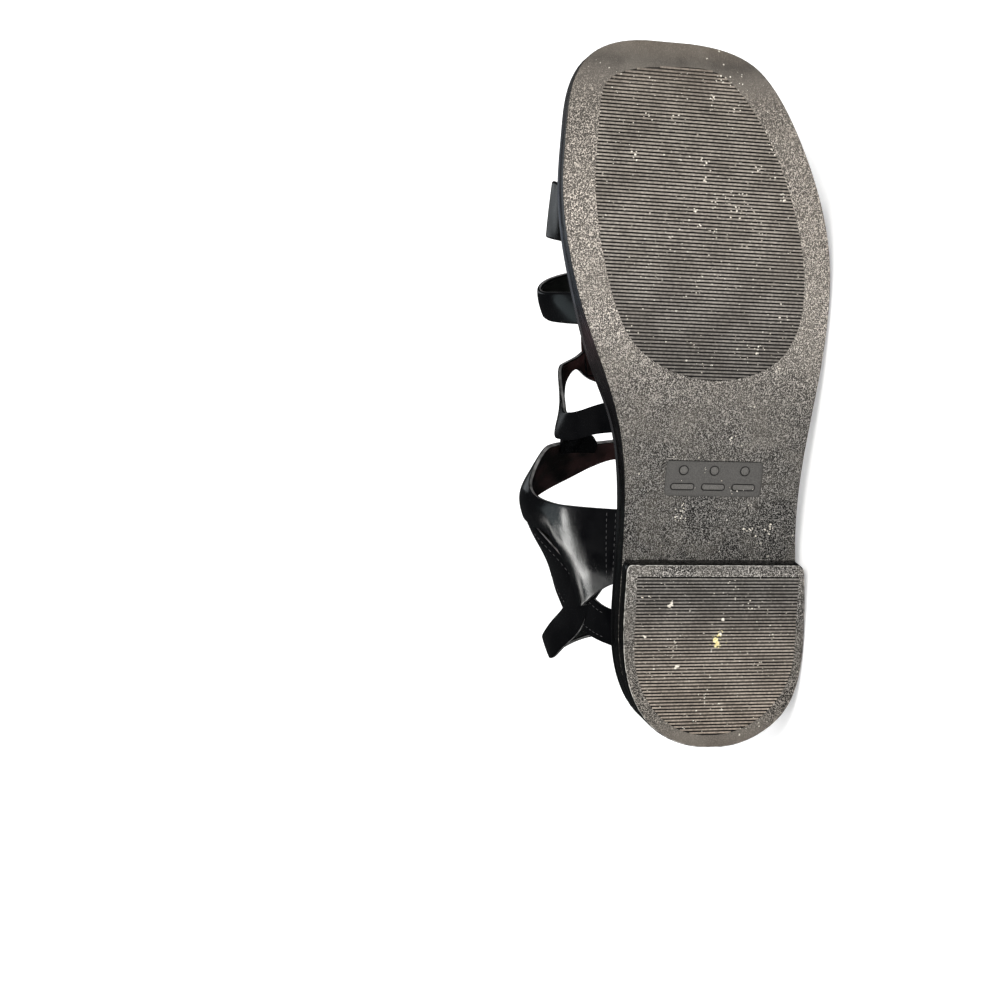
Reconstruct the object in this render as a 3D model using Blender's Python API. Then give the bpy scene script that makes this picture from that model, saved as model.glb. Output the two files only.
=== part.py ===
"""Fisherman sandal for the left foot, EUR 39, lying on its outer side.

The shoe is modelled standing: +X runs to the toe, +Y to the outer (little toe) side, +Z up from the
ground, and the origin is at the back of the heel. Lengths in the tables are millimetres. At the end
the empty "shoe" lays every piece down on its outer side, so that the sole's edge and the upper both
touch the floor.
"""

import math

import bmesh
import bpy
import numpy as np
from mathutils import Matrix, Vector

MM = 0.001

# Driving sizes, in millimetres
LENGTH = 258.6
HEEL_LIFT = 6.15
BREAST = 70.2
BREAST_DRAFT = 1.0
BLOCK_HEIGHT = 5.85
FLAT_FROM, FLAT_TO = 148.0, 178.0
TOE_SPRING = 9.0
GAP = 0.3
MIDSOLE_THICK = 3.3
INSOLE_THICK = 2.6
INSOLE_INSET = 3.4
STRAP_THICK = 2.0
STRAP_INSET = 0.8
PANEL_DEPTH = 0.6
PLATE_SIZE = (13.6, 37.8)
PLATE_CENTRE = (102.0, -1.6)
PLATE_DEPTH = 0.45

# How the shoe lies: the floor's direction seen from the standing shoe, square to the plane that its
# rim at the ball, its rim at the heel and its ankle strap share
FLOOR_WAY = (-0.0209, 0.9973, 0.0710)

# The tread's edge from above, once round: along, across
TREAD_OUTLINE = (
    (0.0, 1.5), (2.2, -11.5), (9.5, -23.2), (22.0, -31.0), (38.0, -34.6), (60.0, -35.0),
    (85.0, -34.9), (105.0, -36.5), (122.0, -40.0), (140.0, -46.6), (160.0, -54.8),
    (182.0, -61.4), (205.0, -64.4), (225.0, -63.5), (240.0, -61.4), (251.0, -55.4),
    (256.8, -45.0), (LENGTH, -26.0), (257.6, -8.0), (252.0, 7.3), (242.0, 16.4),
    (226.0, 25.0), (205.0, 33.0), (182.0, 37.7), (160.0, 38.1), (135.0, 35.7),
    (105.0, 33.2), (80.0, 33.5), (60.0, 35.2), (44.0, 36.0), (28.0, 35.2), (14.0, 30.3),
    (5.0, 20.5), (0.8, 10.0),
)

# The ribbed panel under the ball and toes: along, across
FOREFOOT_PANEL = (
    (138.3, -8.0), (142.0, -23.5), (151.0, -36.6), (164.0, -43.8), (183.0, -49.5),
    (206.0, -52.7), (230.0, -51.6), (242.5, -48.6), (247.2, -40.0), (249.4, -24.0),
    (248.6, -8.0), (236.5, 5.6), (218.0, 16.2), (198.0, 23.3), (176.0, 27.6),
    (160.0, 26.8), (147.5, 20.6), (140.5, 9.0),
)

# Height of the sole's upper rim: along, height
RIM_HEIGHT = (
    (-2.0, 18.0), (30.0, 18.0), (60.0, 17.8), (90.0, 16.8), (120.0, 14.6), (150.0, 12.2),
    (180.0, 11.0), (210.0, 11.8), (240.0, 15.0), (260.0, 18.0),
)

# The last that the straps go over, a row for each section: along, then across and height of its
# widest place on the inner side, of its ridge, and of its widest place on the outer side
LAST_SECTIONS = (
    (30.0, -43.5, 62.0, -4.0, 120.0, 29.5, 62.0),
    (45.0, -43.2, 64.0, -6.0, 117.0, 30.5, 62.0),
    (60.0, -47.5, 66.0, -8.0, 110.0, 31.5, 60.0),
    (75.0, -56.0, 68.0, -10.0, 101.0, 32.0, 56.0),
    (88.0, -59.4, 67.0, -13.0, 92.0, 32.5, 52.0),
    (100.0, -56.0, 60.0, -16.0, 83.0, 33.0, 46.0),
    (112.0, -52.3, 50.0, -18.0, 74.0, 33.5, 40.0),
    (125.0, -50.4, 41.0, -20.0, 66.0, 34.0, 35.0),
    (140.0, -53.0, 38.0, -20.0, 60.0, 34.5, 32.0),
    (155.0, -58.0, 36.0, -19.5, 55.0, 35.0, 29.0),
    (170.0, -63.6, 32.0, -18.0, 50.0, 35.5, 26.0),
    (187.0, -62.4, 25.0, -16.0, 42.0, 34.5, 23.0),
    (200.0, -62.2, 21.0, -15.0, 36.0, 32.0, 20.0),
    (213.0, -61.8, 20.0, -14.0, 33.0, 29.0, 19.0),
)

# The straps that run from rim to rim: turn is 0 at the inner rim, 0.5 on the ridge and 1 at the
# outer rim, back and front are the edges' places along the shoe, lift is how far it rides up
CROSS_STRAPS = {
    "toe_strap": (
        # turn, back, front, lift
        (0.00, 186.3, 206.5, 0.0), (0.15, 187.6, 207.7, 0.0), (0.30, 189.0, 209.0, 0.5),
        (0.50, 189.5, 210.0, 1.3), (0.70, 187.0, 207.5, 0.5), (0.85, 183.5, 204.0, 0.0),
        (1.00, 180.5, 201.0, 0.0),
    ),
    "second_strap": (
        (0.00, 157.3, 168.7, 0.0), (0.12, 158.0, 168.9, 0.0), (0.20, 158.8, 169.2, 0.0),
        (0.26, 160.2, 170.4, 0.0), (0.32, 162.4, 174.0, 0.0), (0.38, 164.6, 177.2, 0.4),
        (0.50, 166.5, 179.5, 1.3), (0.65, 163.0, 176.0, 0.6), (0.82, 157.0, 170.0, 0.0),
        (1.00, 153.0, 166.0, 0.0),
    ),
    "third_strap": (
        (0.00, 118.2, 129.4, 0.0), (0.06, 116.6, 127.4, 0.0), (0.12, 113.8, 125.2, 0.0),
        (0.18, 113.0, 124.0, 0.0), (0.23, 114.2, 124.6, 0.0), (0.26, 118.5, 129.5, 0.0),
        (0.285, 126.0, 136.5, 0.0), (0.31, 132.4, 141.2, 0.0), (0.34, 136.6, 142.8, 0.0),
        (0.386, 140.2, 145.5, 0.0), (0.41, 137.0, 148.2, 0.3), (0.44, 134.8, 150.0, 0.7),
        (0.50, 134.5, 151.0, 1.2), (0.65, 134.5, 147.0, 0.6), (0.82, 127.0, 141.0, 0.0),
        (1.00, 122.0, 137.0, 0.0),
    ),
    "instep_strap": (
        (0.00, 60.4, 88.5, 0.0), (0.03, 57.2, 88.2, 0.0), (0.06, 53.2, 88.0, 0.0),
        (0.085, 49.8, 87.9, 0.0), (0.105, 48.0, 87.8, 0.0), (0.115, 51.0, 87.8, 0.0),
        (0.125, 62.5, 87.9, 0.0), (0.137, 72.5, 88.1, 0.0), (0.155, 75.4, 88.4, 0.0),
        (0.20, 76.4, 90.8, 0.0), (0.235, 77.6, 95.0, 0.0), (0.26, 78.4, 100.5, 0.0),
        (0.29, 80.2, 105.6, 0.1), (0.35, 85.4, 108.4, 0.4), (0.42, 92.8, 108.4, 1.0),
        (0.46, 98.2, 108.4, 1.2), (0.50, 101.6, 109.4, 1.3), (0.56, 99.0, 109.0, 1.1),
        (0.62, 95.0, 107.5, 0.7), (0.70, 89.5, 103.0, 0.2), (0.76, 84.0, 98.6, 0.0),
        (0.81, 79.0, 95.2, 0.0), (0.845, 77.0, 93.6, 0.0), (0.863, 73.0, 93.2, 0.0),
        (0.875, 63.0, 92.6, 0.0), (0.885, 53.0, 92.4, 0.0), (0.897, 50.0, 92.2, 0.0),
        (0.92, 51.0, 91.8, 0.0), (0.95, 55.0, 91.4, 0.0), (0.975, 59.0, 91.2, 0.0),
        (1.00, 62.0, 91.0, 0.0),
    ),
    "ankle_strap": (
        (0.00, 35.4, 49.2, 0.0), (0.05, 35.6, 50.4, -0.6), (0.10, 36.4, 54.4, -1.3),
        (0.15, 37.8, 64.0, -1.4), (0.20, 40.0, 73.0, -1.3), (0.25, 44.0, 79.0, -1.2),
        (0.30, 51.5, 82.0, -1.2), (0.35, 58.5, 81.8, -1.1), (0.40, 61.0, 78.6, -0.6),
        (0.45, 59.5, 75.0, 0.0), (0.50, 57.5, 72.2, 0.3), (0.60, 54.0, 69.0, 0.3),
        (0.70, 51.0, 66.0, 0.0), (0.80, 47.0, 62.0, -0.6), (0.86, 44.5, 59.5, -1.3),
        (0.92, 42.5, 57.0, -1.2), (1.00, 41.0, 55.5, 0.0),
    ),
}

# The strip under them along the ridge, and the tab that ties the instep strap to the third one:
# along, turn at its inner and outer edge
CENTRE_STRIPS = {
    "centre_strip": (
        # along, inner edge, outer edge, as turns
        (137.5, 0.405, 0.50), (150.0, 0.40, 0.50), (160.0, 0.405, 0.505), (180.0, 0.44, 0.53),
        (204.0, 0.46, 0.55),
    ),
    "instep_tab": (
        (105.5, 0.37, 0.455), (110.0, 0.36, 0.455), (113.0, 0.35, 0.44), (116.0, 0.33, 0.40),
        (119.0, 0.285, 0.345), (122.0, 0.24, 0.285),
    ),
}

# The sling's ends, which start under the instep strap's lobes and run back to the heel: along and
# height of the lower edge, then of the upper edge, and the lift. Both sides lie on the last.
INNER_END = (
    (66.0, 22.5, 76.0, 43.0, -1.2), (57.5, 25.4, 67.5, 44.6, -1.2), (50.8, 31.2, 59.5, 45.2, -1.2),
    (44.5, 35.8, 52.0, 48.0, -0.8), (36.5, 40.0, 44.0, 54.5, 0.0),
)
OUTER_END = (
    (34.5, 55.0, 41.0, 70.0, 0.0), (41.5, 44.5, 48.5, 59.0, -0.8), (49.0, 35.0, 56.5, 49.5, -1.2),
    (57.0, 27.5, 65.0, 45.0, -1.2), (66.0, 22.0, 75.0, 43.0, -1.2),
)

# The sling between the lobes, slack round the heel: along, across and height of its lower edge,
# then of its upper edge
HEEL_SLING = (
    (28.5, -43.6, 48.5, 36.0, -45.4, 63.0), (21.5, -45.4, 58.5, 29.0, -46.4, 72.5),
    (19.5, -43.5, 70.0, 25.0, -43.6, 84.5), (21.5, -35.5, 81.5, 24.5, -35.5, 96.5),
    (24.0, -23.0, 89.0, 25.5, -23.0, 104.0), (24.5, -9.0, 91.5, 25.5, -9.0, 106.5),
    (24.0, 5.0, 89.5, 25.0, 5.0, 104.5), (24.0, 17.0, 83.0, 26.0, 16.5, 98.0),
    (26.5, 26.0, 73.0, 30.5, 25.0, 88.0),
)


# ---------------------------------------------------------------- curves

def along_table(table, column, at):
    """A smooth value read from a table's column at a distance along the shoe."""
    table = np.asarray(table, float)
    x, y = table[:, 0], table[:, column]
    slope = np.gradient(y, x)
    at = np.clip(at, x[0], x[-1])
    i = np.clip(np.searchsorted(x, at) - 1, 0, len(x) - 2)
    width = x[i + 1] - x[i]
    s = (at - x[i]) / width
    return (
        (1 + 2 * s) * (1 - s) ** 2 * y[i]
        + s * (1 - s) ** 2 * width * slope[i]
        + s * s * (3 - 2 * s) * y[i + 1]
        - s * s * (1 - s) * width * slope[i + 1]
    )


def spline(points, count, closed=False):
    """A cubic spline through the points, read at even steps of its length."""
    points = np.asarray(points, float)
    if closed:
        points = np.vstack([points, points[:1]])
    knots = np.r_[0, np.cumsum(np.linalg.norm(np.diff(points, axis=0), axis=1))]
    gaps = np.diff(knots)
    n = len(points)
    rows, right = np.zeros((n, n)), np.zeros((n, points.shape[1]))
    for i in range(1, n - 1):
        rows[i, i - 1:i + 2] = gaps[i - 1], 2 * (gaps[i - 1] + gaps[i]), gaps[i]
        right[i] = 6 * (
            (points[i + 1] - points[i]) / gaps[i] - (points[i] - points[i - 1]) / gaps[i - 1]
        )
    if closed:
        rows[0, [0, 1, -2]] = 2 * (gaps[0] + gaps[-1]), gaps[0], gaps[-1]
        right[0] = 6 * ((points[1] - points[0]) / gaps[0] - (points[-1] - points[-2]) / gaps[-1])
        rows[-1, [0, -1]] = 1, -1
    else:
        rows[0, 0] = rows[-1, -1] = 1
    bend = np.linalg.solve(rows, right)
    fine = np.linspace(0, knots[-1], 24 * n)
    i = np.clip(np.searchsorted(knots, fine) - 1, 0, n - 2)
    left, rest = (knots[i + 1] - fine)[:, None], (fine - knots[i])[:, None]
    gap = gaps[i][:, None]
    curve = (
        bend[i] * left ** 3 / (6 * gap)
        + bend[i + 1] * rest ** 3 / (6 * gap)
        + (points[i] / gap - bend[i] * gap / 6) * left
        + (points[i + 1] / gap - bend[i + 1] * gap / 6) * rest
    )
    length = np.r_[0, np.cumsum(np.linalg.norm(np.diff(curve, axis=0), axis=1))]
    steps = np.linspace(0, length[-1], count + (1 if closed else 0))
    even = np.column_stack([np.interp(steps, length, axis) for axis in curve.T])
    return even[:-1] if closed else even


def sides_of(outline, stations):
    """Where lines across the shoe meet a closed outline: its inner and its outer side."""
    fine = spline(outline, 900, closed=True)
    back, front = fine[:, 0].argmin(), fine[:, 0].argmax()
    fine = np.roll(fine, -back, axis=0)
    turn = (front - back) % len(fine)
    first, second = fine[:turn + 1], np.vstack([fine[turn:], fine[:1]])[::-1]
    stations = np.clip(stations, fine[:, 0].min(), fine[:, 0].max())
    sides = [np.interp(stations, half[:, 0], half[:, 1]) for half in (first, second)]
    return np.minimum(*sides), np.maximum(*sides)


def spread(start, end, step, close=(0.3, 1.3, 3.2, 6.0, 10.0, 15.0)):
    """Stations from start to end: close together at both ends, a step apart between them."""
    near = np.array(close)
    middle = np.linspace(start + near[-1], end - near[-1], max(2, round((end - start) / step)))
    return np.r_[start + near[:-1], middle, end - near[:-1][::-1]]


def tread_height(along):
    """Height of the outsole's underside: up on the heel block, flat under the ball, up at the toe."""
    fall = np.clip((along - BREAST) / (FLAT_FROM - BREAST), 0, 1)
    rise = np.clip((along - FLAT_TO) / (LENGTH - FLAT_TO), 0, 1)
    return HEEL_LIFT * (1 - fall * fall * (3 - 2 * fall)) + TOE_SPRING * rise ** 1.6


def rim_height(along):
    return along_table(RIM_HEIGHT, 1, along)


def flare(along):
    """How far the sole's rim stands out past the tread, most at the start of the arch."""
    return 1.6 * np.exp(-((along - 144.0) / 18.0) ** 2)


# ---------------------------------------------------------------- meshes

def new_object(name, vertices, faces, material=None):
    mesh = bpy.data.meshes.new(name)
    mesh.from_pydata([Vector(v) * MM for v in vertices], [], faces)
    shape = bmesh.new()
    shape.from_mesh(mesh)
    bmesh.ops.triangulate(shape, faces=[f for f in shape.faces if len(f.verts) > 4])
    bmesh.ops.recalc_face_normals(shape, faces=shape.faces)
    shape.to_mesh(mesh)
    shape.free()
    piece = bpy.data.objects.new(name, mesh)
    if material is not None:
        mesh.materials.append(material)
    return piece


def loft(name, rings, material=None, caps=None):
    """A solid through rings of equal counts. caps closes both ends: strips for paired rings."""
    count = len(rings[0])
    vertices = [tuple(point) for ring in rings for point in ring]
    faces = []
    for level in range(len(rings) - 1):
        a, b = level * count, (level + 1) * count
        for i in range(count):
            j = (i + 1) % count
            faces.append((a + i, a + j, b + j, b + i))
    for base in (0, (len(rings) - 1) * count):
        if caps == "strips":
            for i in range(count // 2 - 1):
                far = count - 1 - i
                faces.append((base + i, base + i + 1, base + far - 1, base + far))
        else:
            faces.append(tuple(range(base, base + count)))
    return new_object(name, vertices, faces, material)


def paired_ring(stations, inner, outer):
    """A ring that runs up the inner side and back down the outer side."""
    return np.vstack([np.column_stack([stations, inner]), np.column_stack([stations, outer])[::-1]])


def inset(ring, distance):
    """The ring moved inwards by a distance, square to its own edge."""
    before, after = np.roll(ring, 1, axis=0), np.roll(ring, -1, axis=0)
    edge = after - before
    normal = np.column_stack([-edge[:, 1], edge[:, 0]]) / np.linalg.norm(edge, axis=1)[:, None]
    centre_line = ring.mean(axis=0)
    if (normal * (centre_line - ring)).sum() < 0:
        normal = -normal
    return ring + normal * np.asarray(distance).reshape(-1, 1)


def raised(ring, height):
    return np.column_stack([ring, np.broadcast_to(height, len(ring))])


def sole_ring():
    stations = spread(0.0, LENGTH, 7.0)
    return paired_ring(stations, *sides_of(TREAD_OUTLINE, stations))


def rim_ring(distance=0.0):
    """The outline of the sole's rim, moved inwards by a distance."""
    ring = sole_ring()
    return inset(ring, distance - flare(ring[:, 0]))


# ---------------------------------------------------------------- sole

def make_outsole(material):
    """Wall and tread in one moulding, with the panel under the ball and the size plate sunk in."""
    ring = sole_ring()
    x = ring[:, 0]
    low, high = tread_height(x), rim_height(x) - MIDSOLE_THICK - GAP
    wide = flare(x)
    rings = [
        raised(inset(ring, 1.0), low),
        raised(inset(ring, 0.3), low + 0.3),
        raised(ring, low + 1.0),
        raised(inset(ring, -0.5 * wide), 0.5 * (low + high)),
        raised(inset(ring, -wide), high - 0.6),
        raised(inset(ring, 0.6 - wide), high),
    ]
    return loft("outsole", rings, material, caps="strips")


def heel_outline(distance):
    """The heel block's outline: the tread's heel, square in front with rounded corners."""
    front = BREAST
    stations = np.r_[spread(0.0, front, 7.0)[:-5], front - np.array([3.2, 1.8, 0.8, 0.2, 0.0])]
    inner, outer = sides_of(TREAD_OUTLINE, stations)
    radius = 3.2
    into = np.clip(stations - (front - radius), 0, radius)
    corner = radius - np.sqrt(radius ** 2 - into ** 2 * 0.98)
    ring = paired_ring(stations, inner - 0.2 + corner * 0.6, outer + 0.7 - corner)
    return inset(ring, distance)


def make_heel_block(material):
    ring = heel_outline(0.0)
    front = np.clip((ring[:, 0] - BREAST + 8.0) / 8.0, 0, 1)

    def level(distance, height):
        moved = inset(ring, distance)
        moved[:, 0] += front * BREAST_DRAFT * height / BLOCK_HEIGHT
        return raised(moved, height)

    rings = [
        level(0.9, 0.0), level(0.25, 0.25), level(0.0, 0.9), level(0.0, BLOCK_HEIGHT - 0.4),
        level(0.4, BLOCK_HEIGHT),
    ]
    return loft("heel_block", rings, material, caps="strips")


def make_midsole(material):
    """The wrapped board on the outsole, with a round edge."""
    ring = rim_ring()
    top = rim_height(ring[:, 0])
    rings = [
        raised(inset(ring, distance), top - drop)
        for distance, drop in (
            (0.9, MIDSOLE_THICK), (0.25, MIDSOLE_THICK - 0.5), (0.0, MIDSOLE_THICK - 1.3),
            (0.0, 1.1), (0.3, 0.35), (0.9, 0.0),
        )
    ]
    return loft("midsole", rings, material, caps="strips")


def make_insole(material):
    ring = rim_ring(INSOLE_INSET)
    base = rim_height(ring[:, 0]) + GAP
    rings = [
        raised(ring, base), raised(ring, base + INSOLE_THICK - 0.8),
        raised(inset(ring, 0.3), base + INSOLE_THICK - 0.2),
        raised(inset(ring, 1.0), base + INSOLE_THICK),
    ]
    return loft("insole", rings, material, caps="strips")


def sinking_cutter(name, outline, depth, reach=4.0):
    """A cutter that sinks an outline into the tread to an even depth."""
    low = outline[:, 0].min()
    high = outline[:, 0].max()
    stations = spread(low, high, 5.5, close=(0.2, 0.9, 2.2, 4.5))
    ring = paired_ring(stations, *sides_of(outline, stations))
    bottom = tread_height(ring[:, 0])
    return loft(name, [raised(ring, bottom - reach), raised(ring, bottom + depth)], caps="strips")


def rounded_box(size, centre, corner):
    """A rounded rectangle's outline: its corners as arcs."""
    points = []
    for quarter in range(4):
        turn = math.radians(90 * quarter)
        sign = [(1, 1), (-1, 1), (-1, -1), (1, -1)][quarter]
        middle = [centre[k] + sign[k] * (size[k] / 2 - corner) for k in (0, 1)]
        for step in range(5):
            angle = turn + math.radians(22.5 * step)
            points.append((middle[0] + corner * math.cos(angle), middle[1] + corner * math.sin(angle)))
    return np.array(points)


def cut(piece, cutter, cutters):
    cutters.objects.link(cutter)
    cutter.hide_render = True
    cutter.display_type = "WIRE"
    tool = piece.modifiers.new(cutter.name, "BOOLEAN")
    tool.operation = "DIFFERENCE"
    tool.solver = "EXACT"
    tool.object = cutter


# ---------------------------------------------------------------- straps

def last_point(along, turn):
    """A point of the last: turn goes from 0 at the inner rim over the ridge to 1 at the outer."""
    row = [float(along_table(LAST_SECTIONS, column, along)) for column in range(1, 7)]
    ridge_across, ridge_high = row[2], row[3]
    side_across, side_high = (row[0], row[1]) if turn <= 0.5 else (row[4], row[5])
    edge = base_across(along)[0 if turn <= 0.5 else 1]
    base = float(rim_height(along)) + GAP
    part = min(turn, 1 - turn)
    if part <= 0.25:
        s = part / 0.25
        across = side_across + (edge - side_across) * (1 - s) ** 2
        return np.array([along, across, base + (side_high - base) * s])
    angle = math.radians(90) * (part - 0.25) / 0.25
    across = ridge_across + (side_across - ridge_across) * math.cos(angle)
    return np.array([along, across, side_high + (ridge_high - side_high) * math.sin(angle)])


RIM_STATIONS = np.linspace(2.0, LENGTH - 2.0, 257)
RIM_SIDES = sides_of(TREAD_OUTLINE, RIM_STATIONS)


def base_across(along):
    """Where the inner faces of the straps stand, on the inner and outer rim."""
    inner, outer = (np.interp(along, RIM_STATIONS, side) for side in RIM_SIDES)
    into = STRAP_INSET + STRAP_THICK - flare(along)
    return inner + into, outer - into


def strap_solid(name, grid, lifts, grounded=(False, False), thick=STRAP_THICK, material=None):
    """A leather strap from the points of its inner face: rows along it, columns across it.

    grounded ends stand upright on the rim, so that their cut end lies flat on it.
    """
    grid = np.asarray(grid)
    down, over = np.gradient(grid, axis=0), np.gradient(grid, axis=1)
    normal = np.cross(down, over)
    normal /= np.linalg.norm(normal, axis=2)[..., None]
    core = np.stack(
        [np.maximum(grid[..., 0], 40.0), np.full(grid.shape[:2], -8.0), np.full(grid.shape[:2], 25.0)],
        axis=2,
    )
    if (normal * (grid - core)).sum() < 0:
        normal = -normal
    for end, row in zip(grounded, (0, -1)):
        if end:
            normal[row, :, 2] = 0
            normal[row] /= np.linalg.norm(normal[row], axis=1)[:, None]
    lifts = np.asarray(lifts)[:, None, None]
    inner, outer = grid + normal * lifts, grid + normal * (lifts + thick)
    half = grid + normal * (lifts + 0.5 * thick)
    edge = over / np.linalg.norm(over, axis=2)[..., None]
    for end, row in zip(grounded, (0, -1)):
        if end:
            edge[row, :, 2] = 0
    low, high = half[:, :1] - 0.3 * edge[:, :1], half[:, -1:] + 0.3 * edge[:, -1:]
    for end, row in zip(grounded, (0, -1)):
        if end:
            level = rim_height(grid[row, :, 0])[:, None] + GAP
            for face in (inner, outer):
                face[row, :, 2:] = level
            low[row, 0, 2], high[row, 0, 2] = level[0, 0], level[-1, 0]
    rings = np.concatenate([inner, high, outer[:, ::-1], low], axis=1)
    return loft(name, list(rings), material)


def cross_strap(name, rows, material=None, columns=4):
    """A strap from rim to rim, from rows of turn, back, front and lift."""
    turns = np.r_[0, 0.025, np.arange(0.06, 0.95, 0.044), 0.975, 1]
    if name == "instep_strap":
        side = np.array([
            0, 0.02, 0.04, 0.06, 0.08, 0.095, 0.105, 0.111, 0.117, 0.123, 0.129, 0.137, 0.15,
            0.175, 0.20, 0.225,
        ])
        turns = np.r_[side, np.arange(0.25, 0.76, 0.036), 1 - side[::-1]]
        columns = 6
    back, front, lift = (along_table(rows, column, turns) for column in (1, 2, 3))
    grid = [
        [last_point(b + (f - b) * u, turn) for u in np.linspace(0, 1, columns)]
        for turn, b, f in zip(turns, back, front)
    ]
    return strap_solid(name, grid, lift, grounded=(True, True), material=material)


def centre_strip(name, rows):
    stations = np.linspace(rows[0][0], rows[-1][0], 9 if name == "instep_tab" else 15)
    inner, outer = (along_table(rows, column, stations) for column in (1, 2))
    grid = [
        [last_point(along, a + (b - a) * u) for u in (0, 0.333, 0.667, 1)]
        for along, a, b in zip(stations, inner, outer)
    ]
    return strap_solid(name, grid, np.full(len(grid), -0.7 if name == "instep_tab" else 0.0))


def wall_point(along, height, outer_side):
    """A point of the last's side, at a height below its widest place."""
    side_high = float(along_table(LAST_SECTIONS, 6 if outer_side else 2, along))
    base = float(rim_height(along)) + GAP
    part = 0.25 * min((height - base) / (side_high - base), 1.0)
    point = last_point(along, 1 - part if outer_side else part)
    point[2] = height
    return point


def heel_sling(name):
    """From inside the instep strap round the heel and into it again on the other side."""
    rows = []
    for table, outer_side in ((INNER_END, False), (OUTER_END, True)):
        for low_along, low, high_along, high, lift in table:
            ends = [wall_point(low_along, low, outer_side), wall_point(high_along, high, outer_side)]
            rows.append([*ends[0], *ends[1], lift])
    rows[len(INNER_END):len(INNER_END)] = [[*row, 0.0] for row in HEEL_SLING]
    rows = spline(rows, 44)
    grid = [
        [row[:3] + (row[3:6] - row[:3]) * u for u in (0, 0.333, 0.667, 1)] for row in rows
    ]
    return strap_solid(name, grid, rows[:, 6])


def make_upper(material, cutters):
    """All straps, joined where they cross."""
    upper = cross_strap("instep_strap", CROSS_STRAPS["instep_strap"], material)
    upper.name = upper.data.name = "upper"
    others = [
        cross_strap(name, rows) for name, rows in CROSS_STRAPS.items() if name != "instep_strap"
    ]
    strips = [centre_strip(name, rows) for name, rows in CENTRE_STRIPS.items()]
    for other in others + strips + [heel_sling("heel_sling")]:
        join(upper, other, cutters)
    return upper


def join(piece, other, cutters):
    cutters.objects.link(other)
    other.hide_render = True
    other.display_type = "WIRE"
    tool = piece.modifiers.new(other.name, "BOOLEAN")
    tool.operation = "UNION"
    tool.solver = "EXACT"
    tool.object = other


# ---------------------------------------------------------------- the shoe

def new_material(name, colour, roughness, metallic=0.0):
    material = bpy.data.materials.new(name)
    material.use_nodes = True
    shader = material.node_tree.nodes["Principled BSDF"]
    shader.inputs["Base Color"].default_value = (*colour, 1)
    shader.inputs["Roughness"].default_value = roughness
    shader.inputs["Metallic"].default_value = metallic
    return material


def build():
    for item in list(bpy.data.objects):
        bpy.data.objects.remove(item)
    scene = bpy.context.scene
    parts = bpy.data.collections.new("fisherman_sandal")
    cutters = bpy.data.collections.new("cutters")
    scene.collection.children.link(parts)
    scene.collection.children.link(cutters)

    tread = new_material("tread_rubber", (0.16, 0.155, 0.15), 0.8)
    wall = new_material("edge_leather", (0.02, 0.02, 0.022), 0.3)
    leather = new_material("strap_leather", (0.012, 0.012, 0.013), 0.42)
    lining = new_material("lining", (0.05, 0.035, 0.03), 0.7)

    outsole = make_outsole(tread)
    heel = make_heel_block(tread)
    cut(outsole, sinking_cutter("ball_panel", spline(FOREFOOT_PANEL, 96, closed=True), PANEL_DEPTH), cutters)
    plate = rounded_box(PLATE_SIZE, PLATE_CENTRE, 1.6)
    cut(outsole, sinking_cutter("size_plate", plate, PLATE_DEPTH), cutters)
    cut(heel, heel_panel_cutter(), cutters)
    pieces = [
        outsole, heel, make_midsole(wall), make_insole(lining), make_upper(leather, cutters),
    ]

    shoe = bpy.data.objects.new("shoe", None)
    parts.objects.link(shoe)
    for piece in pieces:
        parts.objects.link(piece)
        piece.parent = shoe
    for cutter in cutters.objects:
        cutter.parent = shoe
    lay_down(shoe, pieces)


def lay_down(shoe, pieces):
    """Turn the standing shoe onto its outer side and set it on the floor, centred on the origin."""
    up = -Vector(FLOOR_WAY).normalized()
    along = Vector((1, 0, 0))
    along = (along - up * along.dot(up)).normalized()
    turn = Matrix((along, up.cross(along), up))
    shoe.rotation_euler = turn.to_euler()
    bpy.context.view_layer.update()
    graph = bpy.context.evaluated_depsgraph_get()
    corners = []
    for piece in pieces:
        mesh = piece.evaluated_get(graph).to_mesh()
        corners += [turn @ vertex.co for vertex in mesh.vertices]
    low = Vector([min(corner[k] for corner in corners) for k in range(3)])
    high = Vector([max(corner[k] for corner in corners) for k in range(3)])
    shoe.location = (-(low.x + high.x) / 2, -(low.y + high.y) / 2, -low.z)


def heel_panel_cutter():
    """The heel's ribbed panel: an even border behind its square front."""
    outline = np.array([
        (65.8, -30.7), (65.8, 32.0), (38.0, 32.9), (29.0, 32.0), (19.0, 27.6), (10.5, 19.4),
        (6.2, 10.0), (5.0, -1.0), (7.4, -11.5), (13.0, -19.8), (21.0, -25.8), (30.0, -29.4),
        (46.0, -30.7),
    ])
    stations = np.r_[spread(5.0, 65.8, 5.5, close=(0.2, 0.9, 2.2, 4.5))]
    curved = spline(outline[2:], 200)
    inner, outer = [], []
    low = curved[:, 0].argmin()
    for station in stations:
        inner.append(np.interp(station, curved[low:, 0], curved[low:, 1]))
        outer.append(np.interp(station, curved[:low + 1, 0][::-1], curved[:low + 1, 1][::-1]))
    ring = paired_ring(stations, np.array(inner), np.array(outer))
    return loft("heel_panel", [raised(ring, -4.0), raised(ring, PANEL_DEPTH)], caps="strips")


build()
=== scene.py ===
"""Black leather fisherman sandal for the left foot, lying on its outer side.

Measures are millimetres on the standing shoe: along runs from the back of the heel to the toe,
across to the outer side, up from the ground. stand_to_lie turns them into the frame's metres.
"""

import math
import random

import bmesh
import bpy
import numpy as np
from mathutils import Matrix, Vector


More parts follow.
